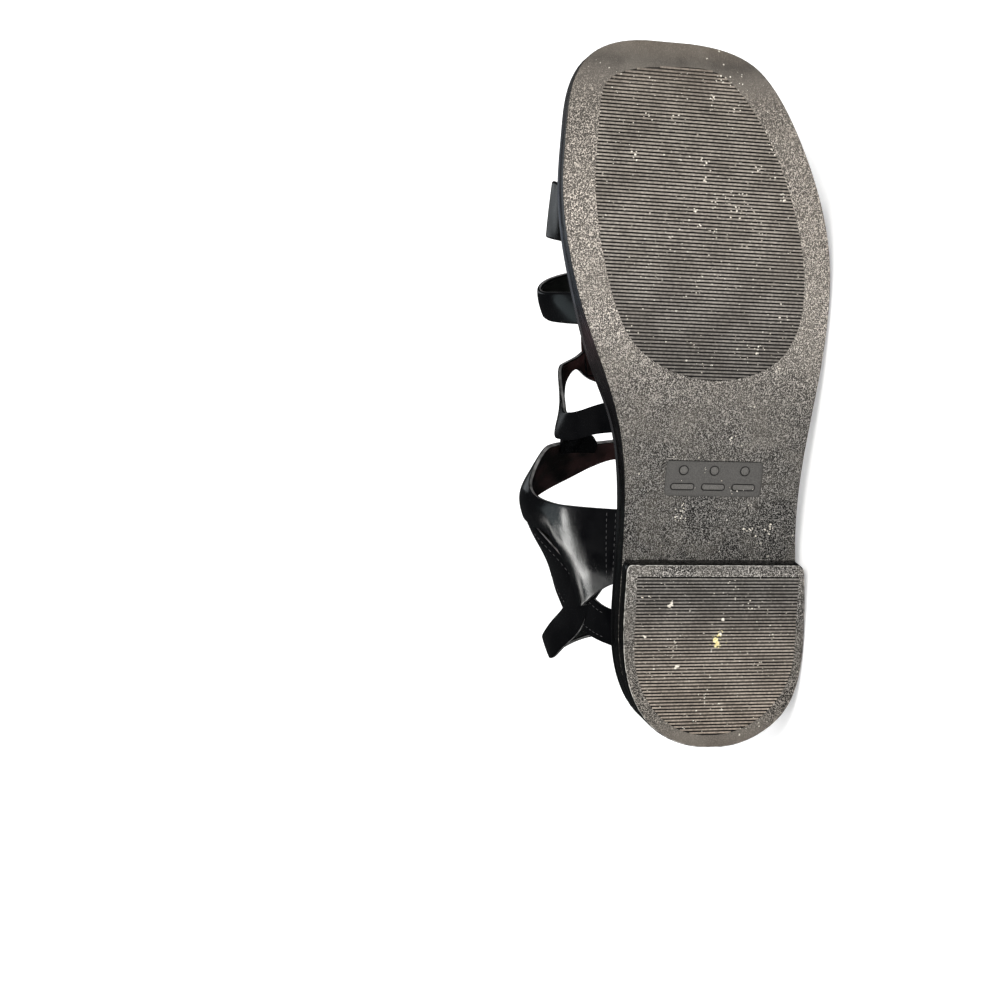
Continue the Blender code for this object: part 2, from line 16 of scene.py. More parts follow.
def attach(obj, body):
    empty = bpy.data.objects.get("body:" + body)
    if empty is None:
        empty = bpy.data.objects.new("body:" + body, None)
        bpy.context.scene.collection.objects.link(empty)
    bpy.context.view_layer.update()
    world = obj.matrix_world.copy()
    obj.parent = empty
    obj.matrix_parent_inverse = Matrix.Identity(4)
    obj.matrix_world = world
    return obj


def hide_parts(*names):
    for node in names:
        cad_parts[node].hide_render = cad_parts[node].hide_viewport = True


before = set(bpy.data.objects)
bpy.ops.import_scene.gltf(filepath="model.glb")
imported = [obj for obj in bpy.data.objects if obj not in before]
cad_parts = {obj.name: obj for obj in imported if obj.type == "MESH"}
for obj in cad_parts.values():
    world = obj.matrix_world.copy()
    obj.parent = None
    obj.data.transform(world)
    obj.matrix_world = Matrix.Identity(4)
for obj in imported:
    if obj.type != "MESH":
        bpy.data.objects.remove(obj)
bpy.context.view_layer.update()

LENGTH = 258.6
HEEL_LIFT = 6.15
BREAST = 70.2
BREAST_DRAFT = 1.0
BREAST_SLANT = 8.0
BLOCK_HEIGHT = 5.85
FLAT_FROM, FLAT_TO = 148.0, 178.0
TOE_SPRING = 9.0
GAP = 0.3
MIDSOLE_THICK = 3.3
INSOLE_THICK = 2.6
INSOLE_INSET = 3.4
STRAP_THICK = 2.0
STRAP_INSET = 0.8
PANEL_DEPTH = 0.6
PLATE_SIZE = (13.6, 37.8)
PLATE_CENTRE = (102.0, -1.6)
PLATE_DEPTH = 0.45
PLATE_SHADE = 108.3
RIB_PITCH = 1.25
RIB_WIDE = 0.70
SHORTEST_RIB = 2.0
BALL_RIBS = (139.0, 249.1)
HEEL_RIBS = (6.0, 65.3)
FLOOR_WAY = (-0.0209, 0.9973, 0.0710)
CAMERA_PLACE = (143.31, -171.41, -434.25)
CAMERA_RIGHT_UP_BACK = (
    (0.03613, 0.98018, -0.19477), (0.99306, -0.01339, 0.11686), (0.11194, -0.19764, -0.97386),
)

# The tread's edge from above, once round: along, across
TREAD_OUTLINE = (
    (0.0, 1.5), (2.2, -11.5), (9.5, -23.2), (22.0, -31.0), (38.0, -34.6), (60.0, -35.0),
    (85.0, -34.9), (105.0, -36.5), (122.0, -40.0), (140.0, -46.6), (160.0, -54.8),
    (182.0, -61.4), (205.0, -64.4), (225.0, -63.5), (240.0, -61.4), (251.0, -55.4),
    (256.8, -45.0), (LENGTH, -26.0), (257.6, -8.0), (252.0, 7.3), (242.0, 16.4),
    (226.0, 25.0), (205.0, 33.0), (182.0, 37.7), (160.0, 38.1), (135.0, 35.7),
    (105.0, 33.2), (80.0, 33.5), (60.0, 35.2), (44.0, 36.0), (28.0, 35.2), (14.0, 30.3),
    (5.0, 20.5), (0.8, 10.0),
)

# The ribbed panel under the ball and toes: along, across
FOREFOOT_PANEL = (
    (138.3, -8.0), (142.0, -23.5), (151.0, -36.6), (164.0, -43.8), (183.0, -49.5),
    (206.0, -52.7), (230.0, -51.6), (242.5, -48.6), (247.2, -40.0), (249.4, -24.0),
    (248.6, -8.0), (236.5, 5.6), (218.0, 16.2), (198.0, 23.3), (176.0, 27.6),
    (160.0, 26.8), (147.5, 20.6), (140.5, 9.0),
)

# The ribbed panel under the heel, from its square front round the back: along, across
HEEL_PANEL = (
    (65.8, -30.7), (65.8, 32.0), (38.0, 32.9), (29.0, 32.0), (19.0, 27.6), (10.5, 19.4),
    (6.2, 10.0), (5.0, -1.0), (7.4, -11.5), (13.0, -19.8), (21.0, -25.8), (30.0, -29.4),
    (46.0, -30.7),
)

# Height of the sole's upper rim: along, height
RIM_HEIGHT = (
    (-2.0, 18.0), (30.0, 18.0), (60.0, 17.8), (90.0, 16.8), (120.0, 14.6), (150.0, 12.2),
    (180.0, 11.0), (210.0, 11.8), (240.0, 15.0), (260.0, 18.0),
)

# The last: along, then across and height of its widest place on the inner side, of its ridge, and
# of its widest place on the outer side
LAST_SECTIONS = (
    (30.0, -43.5, 62.0, -4.0, 120.0, 29.5, 62.0),
    (45.0, -43.2, 64.0, -6.0, 117.0, 30.5, 62.0),
    (60.0, -47.5, 66.0, -8.0, 110.0, 31.5, 60.0),
    (75.0, -56.0, 68.0, -10.0, 101.0, 32.0, 56.0),
    (88.0, -59.4, 67.0, -13.0, 92.0, 32.5, 52.0),
    (100.0, -56.0, 60.0, -16.0, 83.0, 33.0, 46.0),
    (112.0, -52.3, 50.0, -18.0, 74.0, 33.5, 40.0),
    (125.0, -50.4, 41.0, -20.0, 66.0, 34.0, 35.0),
    (140.0, -53.0, 38.0, -20.0, 60.0, 34.5, 32.0),
    (155.0, -58.0, 36.0, -19.5, 55.0, 35.0, 29.0),
    (170.0, -63.6, 32.0, -18.0, 50.0, 35.5, 26.0),
    (187.0, -62.4, 25.0, -16.0, 42.0, 34.5, 23.0),
    (200.0, -62.2, 21.0, -15.0, 36.0, 32.0, 20.0),
    (213.0, -61.8, 20.0, -14.0, 33.0, 29.0, 19.0),
)

# The straps from rim to rim: turn (0 inner rim, 0.5 ridge, 1 outer rim), back edge, front edge
# and lift
CROSS_STRAPS = {
    "toe_strap": (
        (0.00, 186.3, 206.5, 0.0), (0.15, 187.6, 207.7, 0.0), (0.30, 189.0, 209.0, 0.5),
        (0.50, 189.5, 210.0, 1.3), (0.70, 187.0, 207.5, 0.5), (0.85, 183.5, 204.0, 0.0),
        (1.00, 180.5, 201.0, 0.0),
    ),
    "second_strap": (
        (0.00, 157.3, 168.7, 0.0), (0.12, 158.0, 168.9, 0.0), (0.20, 158.8, 169.2, 0.0),
        (0.26, 160.2, 170.4, 0.0), (0.32, 162.4, 174.0, 0.0), (0.38, 164.6, 177.2, 0.4),
        (0.50, 166.5, 179.5, 1.3), (0.65, 163.0, 176.0, 0.6), (0.82, 157.0, 170.0, 0.0),
        (1.00, 153.0, 166.0, 0.0),
    ),
    "third_strap": (
        (0.00, 118.2, 129.4, 0.0), (0.06, 116.6, 127.4, 0.0), (0.12, 113.8, 125.2, 0.0),
        (0.18, 113.0, 124.0, 0.0), (0.23, 114.2, 124.6, 0.0), (0.26, 118.5, 129.5, 0.0),
        (0.285, 126.0, 136.5, 0.0), (0.31, 132.4, 141.2, 0.0), (0.34, 136.6, 142.8, 0.0),
        (0.386, 140.2, 145.5, 0.0), (0.41, 137.0, 148.2, 0.3), (0.44, 134.8, 150.0, 0.7),
        (0.50, 134.5, 151.0, 1.2), (0.65, 134.5, 147.0, 0.6), (0.82, 127.0, 141.0, 0.0),
        (1.00, 122.0, 137.0, 0.0),
    ),
    "instep_strap": (
        (0.00, 60.4, 88.5, 0.0), (0.03, 57.2, 88.2, 0.0), (0.06, 53.2, 88.0, 0.0),
        (0.085, 49.8, 87.9, 0.0), (0.105, 48.0, 87.8, 0.0), (0.115, 51.0, 87.8, 0.0),
        (0.125, 62.5, 87.9, 0.0), (0.137, 72.5, 88.1, 0.0), (0.155, 75.4, 88.4, 0.0),
        (0.20, 76.4, 90.8, 0.0), (0.235, 77.6, 95.0, 0.0), (0.26, 78.4, 100.5, 0.0),
        (0.29, 80.2, 105.6, 0.1), (0.35, 85.4, 108.4, 0.4), (0.42, 92.8, 108.4, 1.0),
        (0.46, 98.2, 108.4, 1.2), (0.50, 101.6, 109.4, 1.3), (0.56, 99.0, 109.0, 1.1),
        (0.62, 95.0, 107.5, 0.7), (0.70, 89.5, 103.0, 0.2), (0.76, 84.0, 98.6, 0.0),
        (0.81, 79.0, 95.2, 0.0), (0.845, 77.0, 93.6, 0.0), (0.863, 73.0, 93.2, 0.0),
        (0.875, 63.0, 92.6, 0.0), (0.885, 53.0, 92.4, 0.0), (0.897, 50.0, 92.2, 0.0),
        (0.92, 51.0, 91.8, 0.0), (0.95, 55.0, 91.4, 0.0), (0.975, 59.0, 91.2, 0.0),
        (1.00, 62.0, 91.0, 0.0),
    ),
    "ankle_strap": (
        (0.00, 35.4, 49.2, 0.0), (0.05, 35.6, 50.4, -0.6), (0.10, 36.4, 54.4, -1.3),
        (0.15, 37.8, 64.0, -1.4), (0.20, 40.0, 73.0, -1.3), (0.25, 44.0, 79.0, -1.2),
        (0.30, 51.5, 82.0, -1.2), (0.35, 58.5, 81.8, -1.1), (0.40, 61.0, 78.6, -0.6),
        (0.45, 59.5, 75.0, 0.0), (0.50, 57.5, 72.2, 0.3), (0.60, 54.0, 69.0, 0.3),
        (0.70, 51.0, 66.0, 0.0), (0.80, 47.0, 62.0, -0.6), (0.86, 44.5, 59.5, -1.3),
        (0.92, 42.5, 57.0, -1.2), (1.00, 41.0, 55.5, 0.0),
    ),
}

# The strip under them along the ridge, and the tab that ties the instep strap to the third one:
# along, turn at its inner and outer edge
CENTRE_STRIPS = {
    "centre_strip": (
        (137.5, 0.405, 0.50), (150.0, 0.40, 0.50), (160.0, 0.405, 0.505), (180.0, 0.44, 0.53),
        (204.0, 0.46, 0.55),
    ),
    "instep_tab": (
        (105.5, 0.37, 0.455), (110.0, 0.36, 0.455), (113.0, 0.35, 0.44), (116.0, 0.33, 0.40),
        (119.0, 0.285, 0.345), (122.0, 0.24, 0.285),
    ),
}

# The sling's ends, which start under the instep strap's lobes and run back to the heel: along and
# height of the lower edge, then of the upper edge, and the lift. Both sides lie on the last.
INNER_END = (
    (66.0, 22.5, 76.0, 43.0, -1.2), (57.5, 25.4, 67.5, 44.6, -1.2), (50.8, 31.2, 59.5, 45.2, -1.2),
    (44.5, 35.8, 52.0, 48.0, -0.8), (36.5, 40.0, 44.0, 54.5, 0.0),
)
OUTER_END = (
    (34.5, 55.0, 41.0, 70.0, 0.0), (41.5, 44.5, 48.5, 59.0, -0.8), (49.0, 35.0, 56.5, 49.5, -1.2),
    (57.0, 27.5, 65.0, 45.0, -1.2), (66.0, 22.0, 75.0, 43.0, -1.2),
)

# The sling between the lobes: along, across and height of its lower edge, then of its upper edge
HEEL_SLING = (
    (28.5, -43.6, 48.5, 36.0, -45.4, 63.0), (21.5, -45.4, 58.5, 29.0, -46.4, 72.5),
    (19.5, -43.5, 70.0, 25.0, -43.6, 84.5), (21.5, -35.5, 81.5, 24.5, -35.5, 96.5),
    (24.0, -23.0, 89.0, 25.5, -23.0, 104.0), (24.5, -9.0, 91.5, 25.5, -9.0, 106.5),
    (24.0, 5.0, 89.5, 25.0, 5.0, 104.5), (24.0, 17.0, 83.0, 26.0, 16.5, 98.0),
    (26.5, 26.0, 73.0, 30.5, 25.0, 88.0),
)

# Grit caught in the tread: along, across, spread of the cluster, grains, size
PALE_GRIT = (
    (44.0, 2.6, 0.2, 2, 2.0), (49.7, 3.5, 0.2, 3, 1.8), (31.6, -14.0, 0.2, 3, 1.9),
    (55.1, -17.2, 0.5, 4, 1.6), (43.5, -27.1, 0.3, 2, 1.2), (41.0, -16.5, 1.8, 10, 0.6),
    (37.0, -15.8, 1.5, 8, 0.55), (20.0, -1.8, 1.6, 9, 0.6), (15.5, 3.3, 1.2, 6, 0.7),
    (57.5, -27.0, 0.8, 4, 0.7), (60.0, 8.0, 1.5, 5, 0.6), (55.0, 14.0, 1.5, 5, 0.6),
    (33.0, 20.0, 2.0, 6, 0.5), (91.1, -12.7, 1.2, 9, 0.65), (87.5, -13.9, 1.3, 9, 0.65),
    (83.0, 13.7, 1.2, 8, 0.75), (82.5, 21.7, 1.2, 9, 0.75), (90.5, 13.5, 1.2, 5, 0.5),
    (96.5, 10.0, 2.0, 5, 0.5), (116.3, 4.3, 0.8, 4, 0.75), (129.9, 10.4, 0.8, 3, 0.6),
    (120.5, 7.8, 1.6, 5, 0.5), (244.0, -32.6, 1.2, 5, 0.7), (230.7, -34.8, 1.4, 6, 0.6),
    (231.5, -23.6, 1.4, 5, 0.6), (238.7, -9.3, 1.4, 8, 0.8), (246.1, -6.2, 1.2, 5, 0.8),
    (236.0, 0.6, 1.6, 7, 0.6), (247.0, 1.0, 1.5, 5, 0.6), (217.0, -38.4, 0.9, 6, 0.85),
    (218.0, -12.2, 1.0, 4, 0.7), (214.6, -10.6, 0.9, 4, 0.8), (210.2, -11.3, 0.5, 3, 1.1),
    (221.2, 13.1, 0.8, 4, 0.9), (215.1, 7.7, 1.2, 5, 0.7), (212.6, 14.7, 0.9, 4, 0.7),
    (198.6, -15.6, 0.7, 5, 1.0), (193.7, -13.9, 0.7, 3, 0.9), (202.6, -8.1, 1.8, 9, 0.6),
    (200.2, -1.2, 1.6, 10, 0.8), (203.2, 2.6, 1.8, 9, 0.6), (204.9, 18.0, 0.8, 6, 0.85),
    (191.2, -7.8, 1.2, 6, 0.7), (196.0, 8.0, 3.0, 12, 0.5), (188.9, -24.3, 0.8, 3, 0.6),
    (175.7, -4.0, 2.0, 8, 0.5), (172.5, -13.0, 1.4, 6, 0.6), (162.7, 19.3, 1.2, 5, 0.7),
    (150.0, 10.7, 1.0, 4, 0.9), (143.8, 19.8, 1.0, 3, 0.8), (154.7, -36.9, 1.0, 3, 0.6),
    (151.4, 27.1, 0.8, 3, 0.8),
)
YELLOW_GRIT = (
    (41.2, 1.2, 0.4, 3, 2.1), (39.6, 1.3, 0.3, 2, 1.9), (43.4, 2.3, 0.4, 3, 1.1),
    (41.5, 1.5, 2.4, 14, 0.55),
)


# ---------------------------------------------------------------- measures

def along_table(table, column, at):
    """A smooth value read from a table's column at a distance along the shoe."""
    table = np.asarray(table, float)
    x, y = table[:, 0], table[:, column]
    slope = np.gradient(y, x)
    at = np.clip(at, x[0], x[-1])
    i = np.clip(np.searchsorted(x, at) - 1, 0, len(x) - 2)
    width = x[i + 1] - x[i]
    s = (at - x[i]) / width
    return (
        (1 + 2 * s) * (1 - s) ** 2 * y[i]
        + s * (1 - s) ** 2 * width * slope[i]
        + s * s * (3 - 2 * s) * y[i + 1]
        - s * s * (1 - s) * width * slope[i + 1]
    )


def spline(points, count, closed=False):
    """A cubic spline through the points, read at even steps of its length."""
    points = np.asarray(points, float)
    if closed:
        points = np.vstack([points, points[:1]])
    knots = np.r_[0, np.cumsum(np.linalg.norm(np.diff(points, axis=0), axis=1))]
    gaps = np.diff(knots)
    n = len(points)
    rows, right = np.zeros((n, n)), np.zeros((n, points.shape[1]))
    for i in range(1, n - 1):
        rows[i, i - 1:i + 2] = gaps[i - 1], 2 * (gaps[i - 1] + gaps[i]), gaps[i]
        right[i] = 6 * (
            (points[i + 1] - points[i]) / gaps[i] - (points[i] - points[i - 1]) / gaps[i - 1]
        )
    if closed:
        rows[0, [0, 1, -2]] = 2 * (gaps[0] + gaps[-1]), gaps[0], gaps[-1]
        right[0] = 6 * ((points[1] - points[0]) / gaps[0] - (points[-1] - points[-2]) / gaps[-1])
        rows[-1, [0, -1]] = 1, -1
    else:
        rows[0, 0] = rows[-1, -1] = 1
    bend = np.linalg.solve(rows, right)
    fine = np.linspace(0, knots[-1], 24 * n)
    i = np.clip(np.searchsorted(knots, fine) - 1, 0, n - 2)
    left, rest = (knots[i + 1] - fine)[:, None], (fine - knots[i])[:, None]
    gap = gaps[i][:, None]
    curve = (
        bend[i] * left ** 3 / (6 * gap)
        + bend[i + 1] * rest ** 3 / (6 * gap)
        + (points[i] / gap - bend[i] * gap / 6) * left
        + (points[i + 1] / gap - bend[i + 1] * gap / 6) * rest
    )
    length = np.r_[0, np.cumsum(np.linalg.norm(np.diff(curve, axis=0), axis=1))]
    steps = np.linspace(0, length[-1], count + (1 if closed else 0))
    even = np.column_stack([np.interp(steps, length, axis) for axis in curve.T])
    return even[:-1] if closed else even


def sides_of(outline, stations):
    """Where lines across the shoe meet a closed outline: its inner and its outer side."""
    fine = spline(outline, 900, closed=True)
    back, front = fine[:, 0].argmin(), fine[:, 0].argmax()
    fine = np.roll(fine, -back, axis=0)
    turn = (front - back) % len(fine)
    first, second = fine[:turn + 1], np.vstack([fine[turn:], fine[:1]])[::-1]
    stations = np.clip(stations, fine[:, 0].min(), fine[:, 0].max())
    sides = [np.interp(stations, half[:, 0], half[:, 1]) for half in (first, second)]
    return np.minimum(*sides), np.maximum(*sides)


CLOSE = (0.12, 0.4, 0.8, 1.3, 1.9, 2.7, 3.7, 4.9, 6.3, 8.0, 10.0, 12.3, 15.0)
CLOSE_IN_PANELS = (0.08, 0.3, 0.7, 1.3, 2.1, 3.2, 4.5)


def spread(start, end, step, close=CLOSE):
    """Stations from start to end: close together at both ends, a step apart between them."""
    near = np.array(close)
    middle = np.linspace(start + near[-1], end - near[-1], max(2, round((end - start) / step)))
    return np.r_[start + near[:-1], middle, end - near[:-1][::-1]]


def tread_height(along):
    """Height of the outsole's underside: up on the heel block, flat at the ball, up at the toe."""
    fall = np.clip((along - BREAST) / (FLAT_FROM - BREAST), 0, 1)
    rise = np.clip((along - FLAT_TO) / (LENGTH - FLAT_TO), 0, 1)
    return HEEL_LIFT * (1 - fall * fall * (3 - 2 * fall)) + TOE_SPRING * rise ** 1.6


def rim_height(along):
    return along_table(RIM_HEIGHT, 1, along)


def flare(along):
    """How far the sole's rim stands out past the tread, most at the start of the arch."""
    return 1.6 * np.exp(-((along - 144.0) / 18.0) ** 2)


def paired_ring(stations, inner, outer):
    """A ring that runs up the inner side and back down the outer side."""
    return np.vstack([np.column_stack([stations, inner]), np.column_stack([stations, outer])[::-1]])


def inset(ring, distance):
    """The ring moved inwards by a distance, square to its own edge."""
    edge = np.roll(ring, -1, axis=0) - np.roll(ring, 1, axis=0)
    normal = np.column_stack([-edge[:, 1], edge[:, 0]]) / np.linalg.norm(edge, axis=1)[:, None]
    if (normal * (ring.mean(axis=0) - ring)).sum() < 0:
        normal = -normal
    return ring + normal * np.asarray(distance).reshape(-1, 1)


def raised(ring, height):
    return np.column_stack([ring, np.broadcast_to(height, len(ring))])


def sole_ring():
    stations = spread(0.0, LENGTH, 2.0)
    return paired_ring(stations, *sides_of(TREAD_OUTLINE, stations))


def rim_ring(distance=0.0):
    """The outline of the sole's rim, moved inwards by a distance."""
    ring = sole_ring()
    return inset(ring, distance - flare(ring[:, 0]))


def heel_outline():
    """The heel block's outline: the tread's heel, square in front with rounded corners."""
    corner_steps = np.array([3.2, 2.7, 2.2, 1.7, 1.2, 0.8, 0.45, 0.2, 0.05, 0.0])
    stations = np.r_[spread(0.0, BREAST, 2.0)[:-9], BREAST - corner_steps]
    inner, outer = sides_of(TREAD_OUTLINE, stations)
    radius = 3.2
    into = np.clip(stations - (BREAST - radius), 0, radius)
    corner = radius - np.sqrt(radius ** 2 - into ** 2 * 0.98)
    return paired_ring(stations, inner - 0.2 + corner * 0.6, outer + 0.7 - corner)


RIM_STATIONS = np.linspace(2.0, LENGTH - 2.0, 257)
RIM_SIDES = sides_of(TREAD_OUTLINE, RIM_STATIONS)


def base_across(along):
    """Where the inner faces of the straps stand, on the inner and outer rim."""
    inner, outer = (np.interp(along, RIM_STATIONS, side) for side in RIM_SIDES)
    into = STRAP_INSET + STRAP_THICK - flare(along)
    return inner + into, outer - into


def last_point(along, turn):
    """A point of the last: turn goes from 0 at the inner rim over the ridge to 1 at the outer."""
    row = [float(along_table(LAST_SECTIONS, column, along)) for column in range(1, 7)]
    ridge_across, ridge_high = row[2], row[3]
    side_across, side_high = (row[0], row[1]) if turn <= 0.5 else (row[4], row[5])
    edge = base_across(along)[0 if turn <= 0.5 else 1]
    base = float(rim_height(along)) + GAP
    part = min(turn, 1 - turn)
    if part <= 0.25:
        s = part / 0.25
        across = side_across + (edge - side_across) * (1 - s) ** 2
        return np.array([along, across, base + (side_high - base) * s])
    angle = math.radians(90) * (part - 0.25) / 0.25
    across = ridge_across + (side_across - ridge_across) * math.cos(angle)
    return np.array([along, across, side_high + (ridge_high - side_high) * math.sin(angle)])


def wall_point(along, height, outer_side):
    """A point of the last's side, at a height below its widest place."""
    side_high = float(along_table(LAST_SECTIONS, 6 if outer_side else 2, along))
    base = float(rim_height(along)) + GAP
    part = 0.25 * min((height - base) / (side_high - base), 1.0)
    point = last_point(along, 1 - part if outer_side else part)
    point[2] = height
    return point


def lying():
    """The turn from the standing shoe to the lying one, and where its origin then is, in metres."""
    up = -Vector(FLOOR_WAY).normalized()
    ahead = Vector((1, 0, 0))
    ahead = (ahead - up * ahead.dot(up)).normalized()
    turn = np.array(Matrix((ahead, up.cross(ahead), up)))

    def low(node):
        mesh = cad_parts[node].data
        points = np.empty(len(mesh.vertices) * 3, np.float32)
        mesh.vertices.foreach_get("co", points)
        return (points.reshape(-1, 3) @ turn).min(axis=0)

    ring = rim_ring()
    corner = low("midsole") - np.r_[ring.min(axis=0) / 1000, 0]
    corner[2] = low("heel_block")[2]
    return turn, turn @ corner


TURN, ORIGIN = lying()


def stand_to_lie(points):
    """Points of the standing shoe in millimetres as points of the frame in metres."""
    return np.asarray(points, float) / 1000 @ TURN.T + ORIGIN


def lie_way(way):
    return Vector(TURN @ np.asarray(way, float))


# ---------------------------------------------------------------- modelling by hand

def leave_all():
    if bpy.context.object and bpy.context.object.mode != "OBJECT":
        bpy.ops.object.mode_set(mode="OBJECT")
    bpy.ops.object.select_all(action="DESELECT")


def apply(piece, kind, **settings):
    """Puts a modifier on the piece and applies it."""
    bpy.context.view_layer.objects.active = piece
    tool = piece.modifiers.new(kind.title(), kind)
    for setting, value in settings.items():
        setattr(tool, setting, value)
    bpy.ops.object.modifier_apply(modifier=tool.name)


def coordinates(piece):
    points = np.empty(len(piece.data.vertices) * 3)
    piece.data.vertices.foreach_get("co", points)
    return points.reshape(-1, 3)


def move_to(piece, points):
    piece.data.vertices.foreach_set("co", np.asarray(points, float).ravel())
    piece.data.update()


def shade(piece, angle=40):
    leave_all()
    piece.select_set(True)
    bpy.context.view_layer.objects.active = piece
    bpy.ops.object.shade_smooth_by_angle(angle=math.radians(angle))
    piece.select_set(False)


def finished(piece, node=None):
    """The piece rides on the shoe and may stand for a node, which it hides."""
    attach(piece, "root")
    if node:
        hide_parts(node)
    return piece


def face_outwards(piece):
    bpy.context.view_layer.objects.active = piece
    bpy.ops.object.mode_set(mode="EDIT")
    bpy.ops.mesh.select_all(action="SELECT")
    bpy.ops.mesh.normals_make_consistent(inside=False)
    bpy.ops.object.mode_set(mode="OBJECT")


def pick_edges(piece, wanted):
    """In edit mode, selects only the edges whose two ends are both wanted."""
    bpy.ops.mesh.select_all(action="DESELECT")
    shape = bmesh.from_edit_mesh(piece.data)
    for edge in shape.edges:
        edge.select = all(wanted(vertex.co) for vertex in edge.verts)
    bmesh.update_edit_mesh(piece.data)


def drawn_up(name, rings, bands, materials, caps=(0, 0)):
    """A circle laid on the first ring and extruded from ring to ring, then closed at both ends.

    bands and caps say which material each belt of faces takes.
    """
    leave_all()
    count = len(rings[0])
    bpy.ops.mesh.primitive_circle_add(vertices=count, radius=0.1)
    piece = bpy.context.object
    piece.name = piece.data.name = name
    for material in materials:
        piece.data.materials.append(material)
    bpy.ops.object.mode_set(mode="EDIT")
    shape = bmesh.from_edit_mesh(piece.data)
    order = shape.verts.layers.int.new("order")
    for number, vertex in enumerate(shape.verts):
        vertex[order] = number
        vertex.co = stand_to_lie(rings[0][number])
    bmesh.update_edit_mesh(piece.data)
    for ring, band in zip(rings[1:], bands):
        bpy.ops.mesh.extrude_edges_move()
        shape = bmesh.from_edit_mesh(piece.data)
        order = shape.verts.layers.int["order"]
        points = stand_to_lie(ring)
        for vertex in shape.verts:
            if vertex.select:
                vertex.co = points[vertex[order]]
        for face in shape.faces:
            if sum(vertex.select for vertex in face.verts) == 2:
                face.material_index = band
        bmesh.update_edit_mesh(piece.data)
    shape = bmesh.from_edit_mesh(piece.data)
    order = shape.verts.layers.int["order"]
    open_ends = [v for v in shape.verts if any(e.is_boundary for e in v.link_edges)]
    last = {v[order]: v for v in open_ends if v.select}
    first = {v[order]: v for v in open_ends if not v.select}
    for end, slot in ((first, caps[0]), (last, caps[1])):
        for i in range(count // 2 - 1):
            far = count - 1 - i
            face = shape.faces.new((end[i], end[i + 1], end[far - 1], end[far]))
            face.material_index = slot
    bmesh.update_edit_mesh(piece.data)
    face_outwards(piece)
    return piece


def stepped(name, ring, steps, materials, caps=(0, 0)):
    """Drawn up from one ring in steps: how far in it moves, its height, the belt above it."""
    rings = [raised(inset(ring, moved), height) for moved, height, _ in steps]
    return drawn_up(name, rings, [belt for _, _, belt in steps[:-1]], materials, caps)


def placed(name, data):
    """A new object in the scene, for a mesh, a light or a camera."""
    thing = bpy.data.objects.new(name, data)
    bpy.context.scene.collection.objects.link(thing)
    return thing


def joined(name, copies):
    """One piece made of several."""
    leave_all()
    for copy in copies:
        copy.select_set(True)
    bpy.context.view_layer.objects.active = copies[0]
    bpy.ops.object.join()
    piece = bpy.context.object
    piece.name = piece.data.name = name
    return piece


def small_ball(radius):
    """The points and faces of a coarse ball, to stretch and copy many times."""
    leave_all()
    bpy.ops.mesh.primitive_ico_sphere_add(subdivisions=1, radius=radius)
    ball = bpy.context.object
    points, faces = coordinates(ball), np.array([face.vertices[:] for face in ball.data.polygons])
    bpy.data.objects.remove(ball)
    return points, faces


def many(name, bodies, faces, material, angle):
    """One piece made of many small bodies that have the same faces."""
    corners = [faces + number * len(body) for number, body in enumerate(bodies)]
    mesh = bpy.data.meshes.new(name)
    mesh.from_pydata(stand_to_lie(np.vstack(bodies)).tolist(), [], np.vstack(corners).tolist())
    mesh.materials.append(material)
    piece = placed(name, mesh)
    shade(piece, angle)
    return finished(piece)


def sunk(piece, ring, level, depth, material):
    """Sinks a ring into the tread to an even depth, with its own material in the bottom."""
    rings = [raised(ring, level - 4.0), raised(ring, level + depth)]
    cutter = drawn_up("cutter", rings, [0], [material])
    apply(
        piece, "BOOLEAN", operation="DIFFERENCE", solver="EXACT", object=cutter,
        material_mode="TRANSFER",
    )
    bpy.data.objects.remove(cutter)


# ---------------------------------------------------------------- finishes

class Reading:
    """A value or colour in a shader tree, to reckon with as with a number."""

    def __init__(self, tree, socket):
        self.tree, self.socket = tree, socket

    def maths(self, operation, *values):
        return added(self.tree, "Math", dict(enumerate(values)), operation=operation)[0]

    def __add__(self, other):
        return self.maths("ADD", self, other)

    def __sub__(self, other):
        return self.maths("SUBTRACT", self, other)

    def __rsub__(self, other):
        return self.maths("SUBTRACT", other, self)

    def __mul__(self, other):
        return self.maths("MULTIPLY", self, other)

    def __truediv__(self, other):
        return self.maths("DIVIDE", self, other)

    def __abs__(self):
        return self.maths("ABSOLUTE", self)

    def __lt__(self, other):
        return self.maths("LESS_THAN", self, other)

    def __gt__(self, other):
        return self.maths("GREATER_THAN", self, other)

    def or_more(self, other):
        return self.maths("MAXIMUM", self, other)

    def between(self, low, high, to_low=0.0, to_high=1.0):
        """Its smooth way from low to high, as to_low to to_high."""
        reach = {0: self, 1: low, 2: high, 3: to_low, 4: to_high}
        return added(self.tree, "MapRange", reach, interpolation_type="SMOOTHSTEP")[0]

    def mix(self, first, second):
        """The first colour where it is 0, the second where it is 1."""
        return added(self.tree, "Mix", {0: self, 6: first, 7: second}, data_type="RGBA")[2]

    def tinted(self, colour):
        values = {0: 1.0, 6: self, 7: colour}
        return added(self.tree, "Mix", values, data_type="RGBA", blend_type="MULTIPLY")[2]

    def noise(self, scale, detail=3.0, rough=0.55):
        values = {"Vector": self, "Scale": scale, "Detail": detail, "Roughness": rough}
        return added(self.tree, "TexNoise", values)["Fac"]

    def cells(self, scale):
        return added(self.tree, "TexVoronoi", {"Vector": self, "Scale": scale})


def fill(tree, node, values):
    """Gives a node's inputs, as plain values or as readings to link to."""
    for key, value in values.items():
        if isinstance(value, Reading):
            tree.links.new(value.socket, node.inputs[key])
        elif node.inputs[key].type == "RGBA":
            node.inputs[key].default_value = (*value, 1)
        else:
            node.inputs[key].default_value = value


